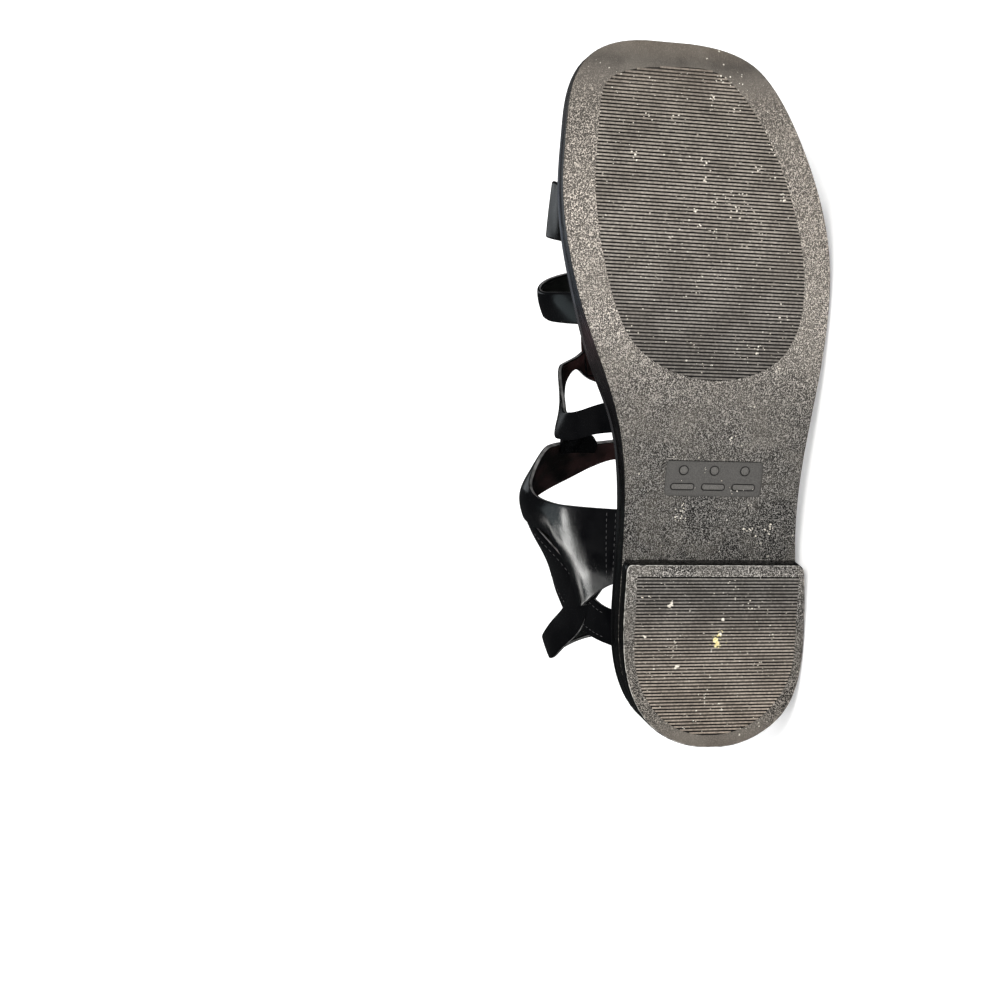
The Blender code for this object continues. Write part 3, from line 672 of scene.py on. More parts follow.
def added(tree, kind, values, **settings):
    """A new shader node's readings, by the names and numbers of its outputs."""
    node = tree.nodes.new("ShaderNode" + kind)
    for setting, value in settings.items():
        setattr(node, setting, value)
    fill(tree, node, values)
    return readings(tree, node)


def readings(tree, node):
    found = {number: Reading(tree, socket) for number, socket in enumerate(node.outputs)}
    return found | {socket.name: Reading(tree, socket) for socket in node.outputs if socket.enabled}


FLOAT, VECTOR = "NodeSocketFloat", "NodeSocketVector"


def new_group(name, inputs, outputs, work):
    """A node group that finishes share: work makes its outputs from its inputs' readings."""
    group = bpy.data.node_groups.new(name, "ShaderNodeTree")
    for title, kind in {"Place": VECTOR, **dict.fromkeys(inputs, FLOAT)}.items():
        group.interface.new_socket(name=title, in_out="INPUT", socket_type=kind)
    for title in outputs:
        group.interface.new_socket(name=title, in_out="OUTPUT", socket_type=FLOAT)
    given, out = (group.nodes.new(kind) for kind in ("NodeGroupInput", "NodeGroupOutput"))
    places = [Reading(group, socket) for socket in given.outputs][:-1]
    fill(group, out, dict(zip(outputs, work(*places))))
    return group


def stipple(place, crumbs_per_mm, worn_smooth):
    """Sandblasted mould grain: short raised worms and crumbs with dark pits between them."""
    crumbs = place.noise(crumbs_per_mm, 2.0, 0.6)
    bend = place.noise(crumbs_per_mm * 0.6, 1.0)
    worm = abs(bend - 0.5).between(0.11, 0.0)
    tops = (crumbs * 0.7 + worm * 0.22).between(0.40, 0.57)
    kept = 1.0 - worn_smooth * 0.8
    return tops * kept, (tops - 0.45) * kept + 0.45


def dust(place, flecks):
    """Dry dirt: soft clouds of it, with pale flecks here and there."""
    cloud = place.noise(0.055, 5.0, 0.62).between(0.36, 0.66)
    spots = place.cells(0.62)
    split = added(place.tree, "SeparateColor", {"Color": spots["Color"]})
    near = (split[0] < flecks) * (spots["Distance"] < split[1] * 0.26)
    return cloud, near * (place.noise(3.1, 2.0) > 0.44)


def leather_grain(place, pebbles_per_mm):
    """Corrected calf: a fine pebble, a few long creases and faint mottling."""
    pebbles = place.cells(pebbles_per_mm)["Distance"]
    fold = abs(place.noise(0.22, 4.0, 0.6) - 0.5)
    return pebbles * 0.35 + fold.between(0.0, 0.03), place.noise(0.08, 4.0).between(0.35, 0.65)


STIPPLE = new_group("stipple", ("Crumbs per mm", "Worn smooth"), ("Height", "Tops"), stipple)
DUST = new_group("dust", ("Flecks",), ("Cloud", "Fleck"), dust)
LEATHER_GRAIN = new_group("leather_grain", ("Pebbles per mm",), ("Height", "Mottle"), leather_grain)


class Finish:
    """A material worked out from the place on the standing shoe, in millimetres."""

    def __init__(self, name, roughness):
        self.material = bpy.data.materials.new(name)
        self.material.use_nodes = True
        self.tree = self.material.node_tree
        self.shader = self.tree.nodes["Principled BSDF"]
        lying_place = added(self.tree, "TexCoord", {})["Object"]
        back = Matrix(TURN.T)
        self.place = added(self.tree, "Mapping", {
            "Vector": lying_place, "Location": -(back @ Vector(ORIGIN)) * 1000,
            "Rotation": back.to_euler(), "Scale": (1000, 1000, 1000),
        })[0]
        apart = added(self.tree, "SeparateXYZ", {0: self.place})
        self.along, self.high = apart[0], apart[2]
        self.take({"Roughness": roughness})

    def take(self, values):
        fill(self.tree, self.shader, values)

    def shared(self, group, values):
        return added(self.tree, "Group", {"Place": self.place, **values}, node_tree=group)

    def toned(self, stops):
        """A colour read along the shoe from stops of distance and colour."""
        ramp = self.tree.nodes.new("ShaderNodeValToRGB")
        fill(self.tree, ramp, {"Fac": self.along / TONES_LONG})
        marks = ramp.color_ramp.elements
        for number, (distance, colour) in enumerate(stops):
            share = distance / TONES_LONG
            mark = marks[number] if number < 2 else marks.new(share)
            mark.position, mark.color = share, (*colour, 1)
        return readings(self.tree, ramp)[0]

    def done(self, colour, height, depth):
        """Its colour, and a bump whose height of 1 stands for a depth in millimetres."""
        values = {"Height": height, "Distance": depth / 1000, "Strength": 1.0}
        self.take({"Base Color": colour, "Normal": added(self.tree, "Bump", values)[0]})
        return self.material


TONES_LONG = 260.0

# Colours along the shoe: distance, colour. First the polished wall and the midsole's wrap,
# nearly black with a painted bluish reflection, palest past the arch
WALL_REFLECTION_TONES = (
    (0.0, (0.005, 0.0048, 0.0042)), (14.0, (0.0016, 0.0017, 0.0015)),
    (75.0, (0.0018, 0.002, 0.002)), (96.0, (0.0036, 0.004, 0.0042)),
    (126.0, (0.005, 0.0046, 0.0052)), (142.0, (0.014, 0.0122, 0.0125)),
    (154.0, (0.033, 0.0235, 0.025)), (164.0, (0.022, 0.025, 0.029)), (182.0, (0.03, 0.034, 0.04)),
    (196.0, (0.012, 0.014, 0.018)), (215.0, (0.02, 0.0205, 0.022)), (235.0, (0.04, 0.04, 0.04)),
    (255.0, (0.042, 0.038, 0.034)),
)
WRAP_REFLECTION_TONES = (
    (0.0, (0.006, 0.006, 0.0058)), (40.0, (0.0022, 0.0024, 0.0024)),
    (72.0, (0.0035, 0.0038, 0.004)), (90.0, (0.011, 0.0118, 0.012)),
    (104.0, (0.023, 0.0245, 0.0255)), (126.0, (0.028, 0.027, 0.0285)),
    (134.0, (0.009, 0.008, 0.0085)), (142.0, (0.013, 0.0115, 0.0118)),
    (150.0, (0.046, 0.04, 0.041)), (166.0, (0.054, 0.056, 0.062)), (190.0, (0.05, 0.056, 0.068)),
    (220.0, (0.042, 0.045, 0.052)), (255.0, (0.038, 0.037, 0.036)),
)

# The dusty rubber, on the stippled border and on the ribs. The tread's stop at 66 is a painted
# highlight on the heel block's front edge
TREAD_TONES = (
    (0.0, (0.066, 0.055, 0.045)), (14.0, (0.118, 0.107, 0.095)), (55.0, (0.116, 0.11, 0.103)),
    (66.0, (0.19, 0.18, 0.17)), (72.0, (0.08, 0.077, 0.073)), (100.0, (0.107, 0.103, 0.098)),
    (130.0, (0.184, 0.173, 0.16)), (160.0, (0.345, 0.318, 0.29)), (200.0, (0.338, 0.307, 0.276)),
    (226.0, (0.27, 0.244, 0.218)), (240.0, (0.18, 0.161, 0.142)), (251.0, (0.06, 0.053, 0.046)),
    (259.0, (0.112, 0.094, 0.077)),
)
RIB_TONES = (
    (6.0, (0.2, 0.17, 0.144)), (18.0, (0.236, 0.207, 0.179)), (40.0, (0.21, 0.189, 0.169)),
    (56.0, (0.126, 0.118, 0.111)), (66.0, (0.128, 0.122, 0.115)), (138.0, (0.108, 0.102, 0.096)),
    (150.0, (0.148, 0.139, 0.131)), (165.0, (0.184, 0.172, 0.161)), (180.0, (0.215, 0.2, 0.184)),
    (200.0, (0.218, 0.2, 0.182)), (225.0, (0.192, 0.176, 0.158)), (241.0, (0.194, 0.174, 0.154)),
    (250.0, (0.16, 0.138, 0.118)),
)


def make_tread_rubber():
    rubber = Finish("tread_rubber", 0.85)
    worn = rubber.along.between(232.0, 250.0).or_more(rubber.along.between(15.0, 3.0))
    grain = rubber.shared(STIPPLE, {"Crumbs per mm": 2.15, "Worn smooth": worn})
    dirt = rubber.shared(DUST, {"Flecks": 0.12})
    tone = rubber.toned(TREAD_TONES)
    rough = rubber.along.between(130.0, 80.0)
    dark = tone.tinted(rough.mix((0.22, 0.215, 0.21), (0.03, 0.03, 0.03)))
    light = tone.tinted(rough.mix((2.27, 2.24, 2.19), (3.15, 3.12, 3.07)))
    dusty = (dirt["Cloud"] * 0.28).mix(grain["Tops"].mix(dark, light), (0.21, 0.19, 0.16))
    return rubber.done(dirt["Fleck"].mix(dusty, (0.62, 0.58, 0.50)), grain["Height"], 0.3)


def packed_dirt(along, broad):
    """How full of dirt a groove is: full at the toe, in clouds at the ball, little at the heel."""
    clouds = broad.between(0.55, 0.78) * along.between(66.0, 150.0, 0.15, 0.65)
    return along.between(228.0, 250.0, 0.0, 0.7).or_more(clouds)


PACKED_COLOUR = (0.055, 0.047, 0.039)


def make_rib_rubber():
    """Worn pale tops, dark flanks."""
    rubber = Finish("rib_rubber", 0.8)
    scuff, broad = rubber.place.noise(0.9, 4.0, 0.65), rubber.place.noise(0.07, 3.0)
    facing = added(rubber.tree, "NewGeometry", {})["Normal"]
    ways = {0: facing, 1: tuple(lie_way((0, 0, -1)))}
    down = added(rubber.tree, "VectorMath", ways, operation="DOT_PRODUCT")["Value"]
    lift = scuff.between(0.3, 0.7).mix((0.85, 0.83, 0.80), (1.75, 1.70, 1.62))
    pale = rubber.toned(RIB_TONES).tinted(lift)
    deeper = broad.between(0.4, 0.62).mix(pale, pale.tinted((0.72, 0.71, 0.70)))
    flank = packed_dirt(rubber.along, broad).mix((0.004, 0.0038, 0.0035), PACKED_COLOUR)
    fleck = rubber.shared(DUST, {"Flecks": 0.16})["Fleck"]
    clean = down.between(0.55, 0.97).mix(flank, deeper)
    return rubber.done(fleck.mix(clean, (0.66, 0.62, 0.54)), scuff, 0.08)


def make_groove_rubber():
    rubber = Finish("groove_rubber", 0.75)
    grit, broad = rubber.place.noise(1.6, 4.0, 0.7), rubber.place.noise(0.07, 3.0)
    clean = grit.between(0.5, 0.78).mix((0.0035, 0.0033, 0.003), (0.026, 0.023, 0.020))
    base = packed_dirt(rubber.along, broad).mix(clean, PACKED_COLOUR)
    fleck = rubber.shared(DUST, {"Flecks": 0.10})["Fleck"]
    return rubber.done(fleck.mix(base, (0.5, 0.46, 0.4)), grit, 0.1)


NEVER_SHADED = 999.0


def make_plate_rubber(name, low, high, shade_from=NEVER_SHADED):
    """Smooth rubber, which past a distance along the shoe lies in the shade of a step."""
    rubber = Finish(name, 0.7)
    fine = rubber.place.noise(2.4, 3.0, 0.6)
    shaded = rubber.along.between(shade_from, shade_from + 0.15)
    lit = fine.between(0.3, 0.7).mix(low, high)
    return rubber.done(shaded.mix(lit, (0.006, 0.006, 0.0055)), fine, 0.05)


def make_wall_gloss(name, tones, worn, roughness):
    """Pressed and polished edge: nearly black with a painted reflection, and rubbed streaks that
    run along the shoe.
    """
    wall = Finish(name, roughness)
    ways = {0: wall.place, 1: (0.05, 0.5, 1.6)}
    rub = added(wall.tree, "VectorMath", ways, operation="MULTIPLY")[0].noise(1.1, 4.0, 0.6)
    tone = wall.toned(tones)
    wall.take({
        "Roughness": rub.between(0.3, 0.8, roughness - 0.07, roughness + 0.2),
        "Specular IOR Level": 0.3, "Coat Weight": 0.06, "Coat Roughness": 0.18,
    })
    rubbed = rub.between(0.52, 0.75).mix(tone, tone.tinted(worn))
    return wall.done(rubbed, wall.place.noise(1.1, 3.0), 0.03)


def make_leather(name, colour, mottle, roughness, depth, pebbles):
    """Smooth leather, dull low down near the heel, up to where the quarter bends over."""
    leather = Finish(name, roughness)
    grain = leather.shared(LEATHER_GRAIN, {"Pebbles per mm": pebbles})
    shiny = leather.high.between(26.0, 31.5).or_more(leather.along.between(88.0, 98.0))
    leather.take({
        "Roughness": grain["Mottle"].between(0.0, 1.0, roughness - 0.04, roughness + 0.06),
        "Specular IOR Level": shiny.between(0.0, 1.0, 0.05, 0.3),
    })
    return leather.done(grain["Mottle"].mix(colour, mottle), grain["Height"], depth)


def make_plain(name, colour, other, scale, roughness, depth):
    """Thread, grit, cut and worn edges: two colours in patches, a little unevenness, painted
    highlight on edges.
    """
    plain = Finish(name, roughness)
    vary = plain.place.noise(scale, 3.0)
    return plain.done(vary.between(0.35, 0.65).mix(colour, other), vary, depth)


TREAD = make_tread_rubber()
RIB = make_rib_rubber()
GROOVE = make_groove_rubber()
PLATE = make_plate_rubber("plate_rubber", (0.058, 0.055, 0.052), (0.094, 0.090, 0.084), PLATE_SHADE)
# The marks' near-black sides and paler tops: painted shade and painted light on one rubber
MARK_SIDE_SHADE = make_plate_rubber("mark_side_painted_shade", (0.003, 0.003, 0.0028), (0.007, 0.0066, 0.006))
MARK_TOP_LIT = make_plate_rubber("mark_top_painted_light", (0.078, 0.074, 0.069), (0.132, 0.126, 0.117))
# The wall and the wrap carry a painted reflection in their colours along the shoe
WALL = make_wall_gloss("wall_gloss", WALL_REFLECTION_TONES, (1.9, 1.9, 2.0), 0.24)
WRAP = make_wall_gloss("midsole_wrap", WRAP_REFLECTION_TONES, (1.5, 1.5, 1.6), 0.2)
# The heel block's rounded tread edge: pale from wear, with a painted highlight
WORN_AND_HIGHLIT_EDGE = make_plain("worn_and_highlit_edge", (0.06, 0.058, 0.054), (0.50, 0.48, 0.44), 0.4, 0.75, 0.05)
LEATHER = make_leather(
    "strap_leather", (0.0018, 0.0019, 0.0023), (0.0036, 0.0037, 0.0042), 0.17, 0.006, 1.3
)
LINING = make_leather("strap_lining", (0.006, 0.0045, 0.004), (0.046, 0.017, 0.016), 0.5, 0.05, 1.0)
# The same lining near-black: painted shade inside the toe, second and ankle straps and the sling
SHADED_LINING = make_leather(
    "lining_painted_shade", (0.0045, 0.0055, 0.0048), (0.013, 0.015, 0.0135), 0.42, 0.05, 1.0
)
SOCK = make_leather("sock_leather", (0.018, 0.014, 0.013), (0.034, 0.026, 0.023), 0.5, 0.06, 0.9)
# Mid-grey on the straps' cut edges: a painted highlight line along every edge
CUT_EDGE_HIGHLIGHT = make_plain("cut_edge_highlight", (0.060, 0.060, 0.060), (0.180, 0.177, 0.175), 0.3, 0.34, 0.03)
THREAD = make_plain("thread", (0.030, 0.030, 0.032), (0.075, 0.074, 0.074), 2.0, 0.6, 0.05)
GRIT_PALE = make_plain("grit_pale", (0.55, 0.50, 0.42), (0.80, 0.76, 0.68), 1.4, 0.9, 0.1)
GRIT_YELLOW = make_plain("grit_yellow", (0.62, 0.52, 0.22), (0.85, 0.78, 0.48), 1.4, 0.85, 0.1)


# ---------------------------------------------------------------- sole

def make_outsole():
    """Wall and tread in one moulding: a polished wall, a rounded edge and the stippled tread."""
    ring = sole_ring()
    x = ring[:, 0]
    low, high = tread_height(x), rim_height(x) - MIDSOLE_THICK - GAP
    wide = flare(x)
    steps = (
        # moved in by, height, material of the belt above
        (1.0, low, 0), (0.6, low + 0.08, 0), (0.3, low + 0.3, 0), (0.08, low + 0.62, 1),
        (0.0, low + 1.1, 1), (-0.5 * wide, 0.5 * (low + high), 1), (-wide, high - 0.6, 1),
        (0.2 - wide, high - 0.15, 1), (0.6 - wide, high, 1),
    )
    piece = stepped("outsole_shell", ring, steps, [TREAD, WALL, GROOVE, PLATE], (0, 1))
    for outline, depth, material in (
        (spline(FOREFOOT_PANEL, 300, closed=True), PANEL_DEPTH, GROOVE),
        (rounded_box(PLATE_SIZE, PLATE_CENTRE, 1.6), PLATE_DEPTH, PLATE),
    ):
        stations = spread(outline[:, 0].min(), outline[:, 0].max(), 1.6, close=CLOSE_IN_PANELS)
        hollow = paired_ring(stations, *sides_of(outline, stations))
        sunk(piece, hollow, tread_height(hollow[:, 0]), depth, material)
    shade(piece, 35)
    return finished(piece, "outsole")


def rounded_box(size, centre, corner):
    """A rounded rectangle's outline: its corners as arcs."""
    points = []
    for quarter, sign in enumerate(((1, 1), (-1, 1), (-1, -1), (1, -1))):
        middle = np.array(centre) + np.array(sign) * (np.array(size) / 2 - corner)
        for step in range(7):
            angle = math.radians(90 * quarter + 15 * step)
            points.append(middle + corner * np.array([math.cos(angle), math.sin(angle)]))
    return np.array(points)


def heel_panel_ring():
    """The heel panel's outline: straight across its front, curved round the back."""
    outline = np.array(HEEL_PANEL)
    stations = spread(outline[:, 0].min(), outline[:, 0].max(), 1.6, close=CLOSE_IN_PANELS)
    curved = spline(outline[2:], 300)
    low = curved[:, 0].argmin()
    inner, outer = curved[low:], curved[:low + 1][::-1]
    return paired_ring(stations, *(np.interp(stations, *side.T) for side in (inner, outer)))


def make_heel_block():
    """The top piece under the heel, whose front slants forward as it rises."""
    ring = heel_outline()
    front = np.clip((ring[:, 0] - BREAST + BREAST_SLANT) / BREAST_SLANT, 0, 1)

    def level(distance, height):
        moved = inset(ring, distance)
        moved[:, 0] += front * BREAST_DRAFT * height / BLOCK_HEIGHT
        return raised(moved, height)

    steps = (
        # moved in by, height, material of the belt above
        (0.9, 0.0, 0), (0.5, 0.07, 3), (0.25, 0.25, 1), (0.06, 0.55, 1), (0.0, 0.95, 1),
        (0.0, BLOCK_HEIGHT - 0.4, 1), (0.12, BLOCK_HEIGHT - 0.1, 1), (0.4, BLOCK_HEIGHT, 1),
    )
    rings = [level(moved, height) for moved, height, _ in steps]
    belts = [belt for _, _, belt in steps[:-1]]
    # Belt 3, the tread's rounded edge, takes the pale edge: wear with a painted highlight
    piece = drawn_up("heel_top_piece", rings, belts, [TREAD, WALL, GROOVE, WORN_AND_HIGHLIT_EDGE], (0, 1))
    sunk(piece, heel_panel_ring(), 0.0, PANEL_DEPTH, GROOVE)
    shade(piece, 35)
    return finished(piece, "heel_block")


def one_rib():
    """One moulded rib a millimetre long: a bar with its upper edges rounded off."""
    leave_all()
    bpy.ops.mesh.primitive_cube_add(size=1)
    rib = bpy.context.object
    move_to(rib, coordinates(rib) * (RIB_WIDE, 1, 1))
    bpy.ops.object.mode_set(mode="EDIT")
    pick_edges(rib, lambda point: point.z < 0)
    bpy.ops.mesh.bevel(offset=0.13, segments=3, affect="EDGES")
    bpy.ops.object.mode_set(mode="OBJECT")
    return rib


def make_ribs(name, inner_and_outer, first, last, level):
    """Copies of one rib side by side, each cut to the panel's width, joined in one mesh."""
    rib = one_rib()
    shape = coordinates(rib)
    copies = []
    station = first
    while station <= last:
        inner, outer = inner_and_outer(station)
        long = outer - inner + 0.1
        if long > SHORTEST_RIB:
            copy = rib.copy()
            copy.data = rib.data.copy()
            bpy.context.scene.collection.objects.link(copy)
            points = shape.copy()
            side = np.sign(points[:, 1])
            ends = long / 2 - 0.2 * (0.5 - np.abs(points[:, 1]))
            points[:, 1] = (inner + outer) / 2 + side * ends
            points[:, 0] = station + points[:, 0]
            base = level(station) + PANEL_DEPTH / 2 + 0.03
            points[:, 2] = base + points[:, 2] * (PANEL_DEPTH - 0.02)
            move_to(copy, stand_to_lie(points))
            copies.append(copy)
        station += RIB_PITCH
    bpy.data.objects.remove(rib)
    piece = joined(name, copies)
    piece.data.materials.clear()
    piece.data.materials.append(RIB)
    face_outwards(piece)
    shade(piece, 35)
    return finished(piece)


def make_all_ribs():
    panel = spline(FOREFOOT_PANEL, 300, closed=True)
    make_ribs(
        "ball_ribs", lambda at: [float(side) for side in sides_of(panel, np.array([at]))],
        *BALL_RIBS, lambda at: float(tread_height(at)),
    )
    ring = heel_panel_ring()
    half = len(ring) // 2
    sides = ring[:half].T, ring[half:][::-1].T
    make_ribs(
        "heel_ribs", lambda at: [np.interp(at, *side) for side in sides],
        *HEEL_RIBS, lambda at: 0.0,
    )


def make_plate_marks():
    """Raised pips over short bars in the size plate, standing in for its figures."""
    marks = []
    for column in (-12.0, 0.0, 12.0):
        for along, size, corner in ((3.0, (3.0, 3.0), 1.45), (-3.2, (2.0, 8.6), 0.9)):
            centre = (PLATE_CENTRE[0] + along, PLATE_CENTRE[1] + column)
            ring = rounded_box(size, centre, corner)
            stations = spread(ring[:, 0].min(), ring[:, 0].max(), 0.4, close=(0.03, 0.12, 0.3, 0.6))
            outline = paired_ring(stations, *sides_of(ring, stations))
            level = tread_height(outline[:, 0]) + PLATE_DEPTH
            steps = (
                # moved in by, height, material of the belt above: a sloping side in painted shade,
                # then the top in painted light
                (-0.42, level + 0.1, 1), (-0.42, level - 0.02, 1), (0.0, level - 0.3, 0),
                (0.15, level - 0.42, 0),
            )
            marks.append(stepped("mark", outline, steps, [MARK_TOP_LIT, MARK_SIDE_SHADE], (1, 0)))
    piece = joined("size_plate_marks", marks)
    shade(piece, 35)
    return finished(piece)


def make_midsole():
    """The wrapped board, with a round edge."""
    ring = rim_ring()
    top = rim_height(ring[:, 0])
    steps = (
        # moved in by, drop from the upper rim
        (0.9, 3.3), (0.5, 3.18), (0.22, 2.85), (0.04, 2.3), (0.0, 1.9), (0.0, 1.3), (0.06, 0.85),
        (0.25, 0.42), (0.5, 0.14), (0.9, 0.0),
    )
    piece = stepped("midsole_wrap", ring, [(moved, top - drop, 0) for moved, drop in steps], [WRAP])
    shade(piece, 60)
    return finished(piece, "midsole")


def make_sock():
    ring = rim_ring(INSOLE_INSET)
    base = rim_height(ring[:, 0]) + GAP
    steps = (
        # moved in by, height above the midsole
        (0.0, 0.0), (0.0, 1.5), (0.12, 2.0), (0.4, 2.4), (1.0, INSOLE_THICK),
        (6.0, INSOLE_THICK + 0.1),
    )
    piece = stepped("sock", ring, [(moved, base + height, 0) for moved, height in steps], [SOCK])
    shade(piece, 60)
    return finished(piece, "insole")


# ---------------------------------------------------------------- straps

def outward(grid):
    """The directions square to a strap's grid, away from the foot."""
    down, over = np.gradient(grid, axis=0), np.gradient(grid, axis=1)
    normal = np.cross(down, over)
    normal /= np.linalg.norm(normal, axis=2)[..., None]
    core = grid * (1, 0, 0) + (0, -8, 25)
    core[..., 0] = np.maximum(core[..., 0], 40)
    return -normal if (normal * (grid - core)).sum() < 0 else normal


def leather_strip(name, grid, lifts, inside, edge, thick=1.9, crown=0.3, waves=0.12, seed=1):
    """A strap: a flat grid laid on the last, given its thickness, folded edges and a soft crown."""
    rows, columns = grid.shape[0] - 1, grid.shape[1] - 1
    normal = outward(grid)
    wobble = random.Random(seed)
    phases = [wobble.uniform(0, 2 * math.pi) for _ in range(4)]
    u = np.linspace(0, 1, rows + 1)[:, None]
    v = np.linspace(0, 1, columns + 1)[None, :]
    rise = np.asarray(lifts)[:, None] + 0.05 + thick / 2 - crown * (2 * v - 1) ** 2
    rise = rise + waves * np.sin(9 * u + phases[0] + 2.2 * v) * np.sin(5 * u + phases[1])
    rise = rise + 0.5 * waves * np.sin(23 * u + phases[2] - 3.0 * v)
    laid = grid + normal * rise[..., None]
    leave_all()
    bpy.ops.mesh.primitive_grid_add(x_subdivisions=rows, y_subdivisions=columns, size=2)
    piece = bpy.context.object
    piece.name = piece.data.name = name
    flat = coordinates(piece)
    i = np.rint((flat[:, 0] + 1) / 2 * rows).astype(int)
    j = np.rint((flat[:, 1] + 1) / 2 * columns).astype(int)
    move_to(piece, stand_to_lie(laid[i, j]))
    for material in (LEATHER, inside, edge):
        piece.data.materials.append(material)
    middle = piece.data.polygons[len(piece.data.polygons) // 2]
    row, column = i[middle.vertices[0]], j[middle.vertices[0]]
    if Vector(middle.normal).dot(lie_way(normal[row, column])) < 0:
        bpy.ops.object.mode_set(mode="EDIT")
        bpy.ops.mesh.select_all(action="SELECT")
        bpy.ops.mesh.flip_normals()
        bpy.ops.object.mode_set(mode="OBJECT")
    apply(
        piece, "SOLIDIFY", thickness=thick / 1000, offset=0.0, material_offset=1,
        material_offset_rim=2,
    )
    apply(
        piece, "BEVEL", width=0.6 / 1000, segments=2, limit_method="ANGLE",
        angle_limit=math.radians(50), material=0,
    )
    apply(piece, "SUBSURF", levels=1, render_levels=1)
    shade(piece, 60)
    return finished(piece, "upper"), laid, normal


# Turns of the instep strap's rows on its lobes, close where the edge turns sharply
LOBE_TURNS = (
    0, 0.02, 0.04, 0.06, 0.08, 0.095, 0.105, 0.111, 0.117, 0.123, 0.129, 0.137, 0.15, 0.175, 0.2,
    0.225,
)

# The quarters bend over from the side to the top along these turns, where the leather stands proud
QUARTER_BENDS = (0.09, 0.91)
QUARTER_RISE = 0.9
QUARTER_SPREAD = 0.035


def cross_strap_grid(name, rows):
    """The strap's points on the last from rim to rim, and how far each of its rows is lifted."""
    quarters = name == "instep_strap"
    if quarters:
        side = np.interp(np.linspace(0, 15, 46), np.arange(16), LOBE_TURNS)
        turns, columns = np.r_[side, np.linspace(0.235, 0.765, 54), 1 - side[::-1]], 22
    else:
        turns, columns = np.linspace(0, 1, 97), 10
    back, front, lift = (along_table(rows, column, turns) for column in (1, 2, 3))
    if quarters:
        for bend in QUARTER_BENDS:
            lift = lift + QUARTER_RISE * np.exp(-0.5 * ((turns - bend) / QUARTER_SPREAD) ** 2)
    grid = []
    for turn, b, f in zip(turns, back, front):
        margin = 0.85 / (f - b)
        columns_at = np.r_[0, np.linspace(margin, 1 - margin, columns - 1), 1]
        grid.append([last_point(b + (f - b) * v, turn) for v in columns_at])
    grid = np.array(grid)
    grid[0, :, 2] -= 0.25
    grid[-1, :, 2] -= 0.25
    return grid, lift


def make_straps():
    made = {}
    for number, (name, rows) in enumerate(CROSS_STRAPS.items()):
        grid, lift = cross_strap_grid(name, rows)
        # The instep and third straps show the maroon lining, the others the lining in painted shade
        inside = LINING if name in ("third_strap", "instep_strap") else SHADED_LINING
        waves = 0.05 if name == "instep_strap" else 0.12
        made[name] = leather_strip(name, grid, lift, inside, CUT_EDGE_HIGHLIGHT, waves=waves, seed=number + 3)
    for number, (name, rows) in enumerate(CENTRE_STRIPS.items()):
        stations = np.linspace(rows[0][0], rows[-1][0], 40)
        inner, outer = (along_table(rows, column, stations) for column in (1, 2))
        grid = np.array([
            [last_point(along, a + (b - a) * v) for v in np.linspace(0, 1, 9)]
            for along, a, b in zip(stations, inner, outer)
        ])
        lift = np.full(len(grid), -0.7 if name == "instep_tab" else 0.0)
        inside = LEATHER if name == "instep_tab" else LINING
        made[name] = leather_strip(name, grid, lift, inside, inside, seed=number + 11)
    made["heel_sling"] = leather_strip("heel_sling", *sling_grid(), SHADED_LINING, CUT_EDGE_HIGHLIGHT, seed=15)
    return made


def sling_grid():
    """The heel sling's points from the inner lobe round the heel to the outer one, and lifts."""
    rows = []
    for table, outer_side in ((INNER_END, False), (OUTER_END, True)):
        for low_along, low, high_along, high, lift in table:
            lower = wall_point(low_along, low, outer_side)
            upper = wall_point(high_along, high, outer_side)
            rows.append([*lower, *upper, lift])
    rows[len(INNER_END):len(INNER_END)] = [[*row, 0.0] for row in HEEL_SLING]
    rows = spline(rows, 130)
    steps = np.linspace(0, 1, 9)
    grid = np.array([[row[:3] + (row[3:6] - row[:3]) * v for v in steps] for row in rows])
    return grid, rows[:, 6]


# From the middle of a strap's thickness to just above its face
TO_FACE = 0.98


def make_stitches(name, path, outwards, pitch, long, wide):
    """A row of sewn stitches along a path on a strap's face."""
    one, faces = small_ball(1.0)
    length = np.r_[0, np.cumsum(np.linalg.norm(np.diff(path, axis=0), axis=1))]
    count = max(2, int(length[-1] / pitch))
    at = (np.arange(count) + 0.5) * length[-1] / count
    stitches = []
    for distance in at:
        here, ahead, behind, up = (
            np.array([np.interp(distance + step, length, axis) for axis in line.T])
            for line, step in ((path, 0), (path, 0.6), (path, -0.6), (outwards, 0))
        )
        run = (ahead - behind) / np.linalg.norm(ahead - behind)
        up = up - run * (up @ run)
        up /= np.linalg.norm(up)
        side = np.cross(up, run)
        body = one * (long / 2, wide / 2, wide * 0.42)
        stitches.append(here + body[:, :1] * run + body[:, 1:2] * side + body[:, 2:] * up)
    many(name, stitches, faces, THREAD, 80)


def stitch_rows(straps):
    """Twin rows where the instep strap is sewn down, and rows along the ankle strap's edges."""
    _, laid, normal = straps["instep_strap"]
    for name, row in (("quarter_stitch_low", 1), ("quarter_stitch_high", 3)):
        path, out = laid[row, 2:-1], normal[row, 2:-1]
        make_stitches(name, path + out * TO_FACE, out, pitch=2.2, long=1.6, wide=0.36)
    _, laid, normal = straps["ankle_strap"]
    for side, column in (("back", 2), ("front", -3)):
        path, out = laid[3:-3, column], normal[3:-3, column]
        row_name = f"ankle_stitch_{side}"
        make_stitches(row_name, path + out * TO_FACE, out, pitch=2.8, long=1.9, wide=0.34)


# ---------------------------------------------------------------- dirt

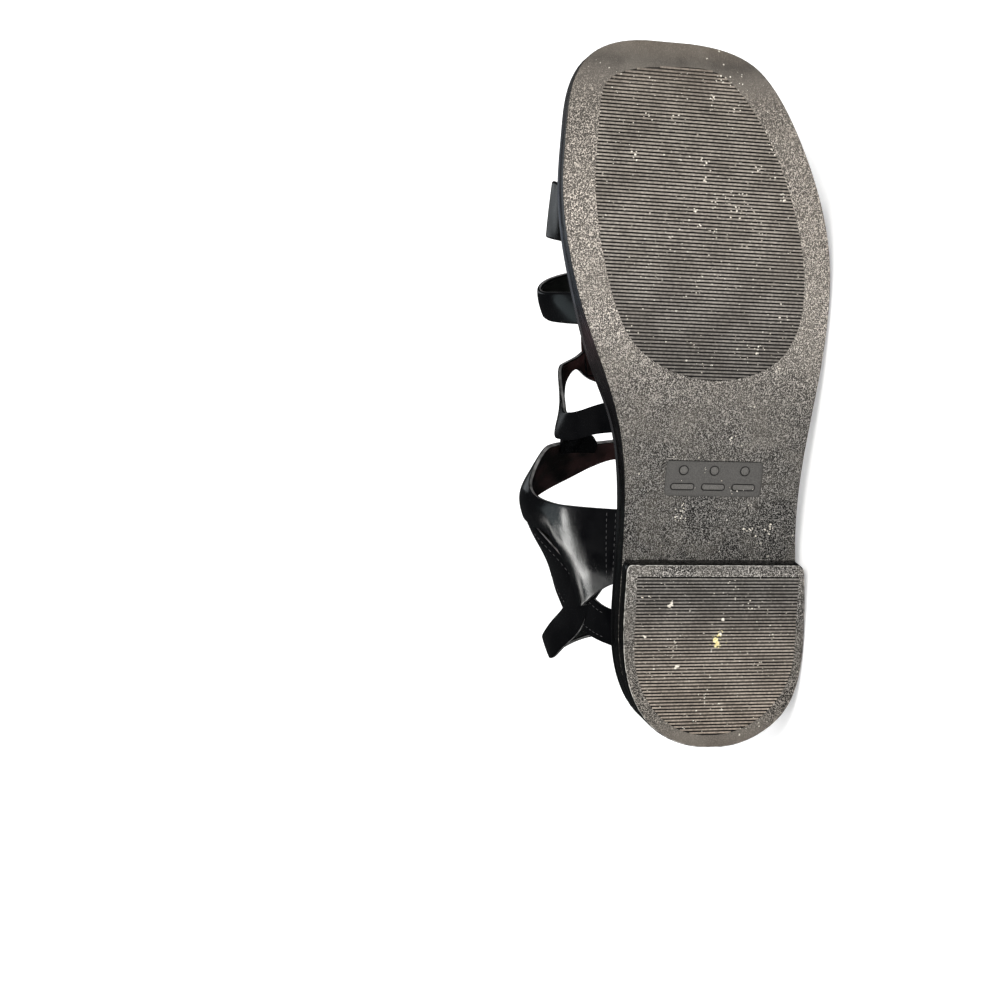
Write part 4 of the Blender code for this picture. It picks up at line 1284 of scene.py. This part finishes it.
def make_grit():
    """Small stones and dry crumbs caught in the tread, each a rough copy of one ball."""
    stone, faces = small_ball(0.5)
    pick = random.Random(39)
    scattered = []
    edges = sides_of(TREAD_OUTLINE, np.arange(0.0, LENGTH))
    # Single crumbs: how many, from and to where along the shoe
    for count, low, high in ((420, 141, 250), (200, 7, 66), (60, 74, 140)):
        for _ in range(count):
            along = pick.uniform(low, high)
            inner, outer = (edge[int(along)] for edge in edges)
            across = pick.uniform(inner + 4, outer - 4)
            scattered.append((along, across, 0.0, 1, pick.choice((0.28, 0.35, 0.5))))
    for name, clusters, material in (
        ("grit_pale", [*PALE_GRIT, *scattered], GRIT_PALE),
        ("grit_yellow", YELLOW_GRIT, GRIT_YELLOW),
    ):
        stones = []
        for along, across, spread_by, grains, size in clusters:
            for _ in range(grains):
                at = along + pick.gauss(0, spread_by), across + pick.gauss(0, spread_by)
                level = 0.0 if at[0] < BREAST else float(tread_height(at[0]))
                scale = size * pick.uniform(0.6, 1.15)
                turn = np.array(Matrix.Rotation(pick.uniform(0, 6.28), 3, "Z"))
                swell = np.sin(stone * pick.uniform(4, 8) + pick.uniform(0, 6))
                lumps = 1 + 0.25 * swell.sum(axis=1, keepdims=True) / 3
                sizes = (scale, scale * pick.uniform(0.6, 1.0), 0.3 * scale)
                stones.append((stone * lumps * sizes) @ turn.T + (*at, level - 0.02))
        many(name, stones, faces, material, 50)


# ---------------------------------------------------------------- studio

def make_studio(straps):
    """A pale floor that runs up into a pale wall, soft lights and the camera."""
    leave_all()
    bpy.ops.mesh.primitive_plane_add(size=8)
    floor = bpy.context.object
    floor.name = floor.data.name = "studio_floor"
    bpy.ops.object.mode_set(mode="EDIT")
    pick_edges(floor, lambda point: point.y > 0)
    bpy.ops.mesh.extrude_edges_move(TRANSFORM_OT_translate={"value": (0, 0.0, 4.0)})
    pick_edges(floor, lambda point: point.y > 3.9 and point.z < 0.1)
    bpy.ops.mesh.bevel(offset=1.5, segments=24, affect="EDGES")
    bpy.ops.object.mode_set(mode="OBJECT")
    paper = bpy.data.materials.new("studio_paper")
    paper.use_nodes = True
    fill(paper.node_tree, paper.node_tree.nodes["Principled BSDF"], {
        "Base Color": (0.93, 0.93, 0.93), "Roughness": 0.9, "Specular IOR Level": 0.1,
        "Emission Color": (1, 1, 1), "Emission Strength": 0.42,
    })
    floor.data.materials.append(paper)
    shade(floor, 60)
    floor.visible_glossy = False

    middle = stand_to_lie((130.0, -5.0, 20.0))

    def soft_light(name, at, size, power, colour, lit=()):
        light = bpy.data.lights.new(name, "AREA")
        light.shape = "RECTANGLE"
        light.size, light.size_y = size
        light.energy = power
        light.color = colour
        lamp = placed(name, light)
        lamp.location = at
        lamp.visible_camera = False
        lamp.rotation_euler = (Vector(middle) - Vector(at)).to_track_quat("-Z", "Y").to_euler()
        if lit:
            lamp.light_linking.receiver_collection = bpy.data.collections.new(name + "_lit")
            for piece in lit:
                lamp.light_linking.receiver_collection.objects.link(piece)

    quarter, second = straps["instep_strap"][0], straps["second_strap"][0]
    warm = (1.0, 0.99, 0.96)
    soft_light("strip_high", (-0.50, 0.322, 1.144), (0.126, 0.337), 2.9, warm, (quarter,))
    soft_light("strip_middle", (-0.642, 0.524, 0.980), (0.147, 0.247), 2.1, warm, (quarter,))
    soft_light("strip_low", (-0.610, 0.693, 0.880), (0.235, 0.126), 0.5, warm, (quarter,))
    cool = (0.80, 0.96, 1.0)
    soft_light("sheen", (-0.42, 0.453, 1.119), (0.5, 0.5), 0.8, cool, (quarter, second))
    soft_light("beyond", (0.22, 1.47, 0.78), (0.5, 0.5), 0.65, (0.90, 0.96, 1.0))
    soft_light("key", (0.75, -1.25, 1.25), (0.6, 0.6), 21.0, (1.0, 0.985, 0.96))
    soft_light("fill", (-0.7, -1.7, 0.6), (1.2, 1.0), 7.0, (1.0, 0.99, 0.97))
    sun = bpy.data.lights.new("sky_light", "SUN")
    sun.energy = 1.9
    sun.angle = math.radians(80)
    lamp = placed("sky_light", sun)
    lamp.rotation_euler = (math.radians(14), 0, 0)
    lamp.visible_glossy = False

    world = bpy.data.worlds.new("studio_air")
    world.use_nodes = True
    sky = world.node_tree
    backdrop = sky.nodes["Background"]
    fill(sky, backdrop, {"Color": (0.92, 0.96, 1)})
    path = added(sky, "LightPath", {})
    reflected = path["Is Glossy Ray"].between(0.0, 1.0, 0.11, 0.03)
    fill(sky, backdrop, {"Strength": path["Is Camera Ray"].or_more(reflected)})
    bpy.context.scene.world = world
    bpy.context.scene.view_settings.view_transform = "Standard"

    lens = bpy.data.cameras.new("camera")
    lens.lens = 45.0
    lens.sensor_width = 36.0
    lens.clip_start, lens.clip_end = 0.01, 50.0
    camera = placed("camera", lens)
    turned = Matrix([lie_way(way) for way in CAMERA_RIGHT_UP_BACK]).transposed()
    camera.matrix_world = Matrix.Translation(stand_to_lie(CAMERA_PLACE)) @ turned.to_4x4()
    bpy.context.scene.camera = camera


make_outsole()
make_heel_block()
make_all_ribs()
make_plate_marks()
make_midsole()
make_sock()
straps = make_straps()
stitch_rows(straps)
make_grit()
make_studio(straps)
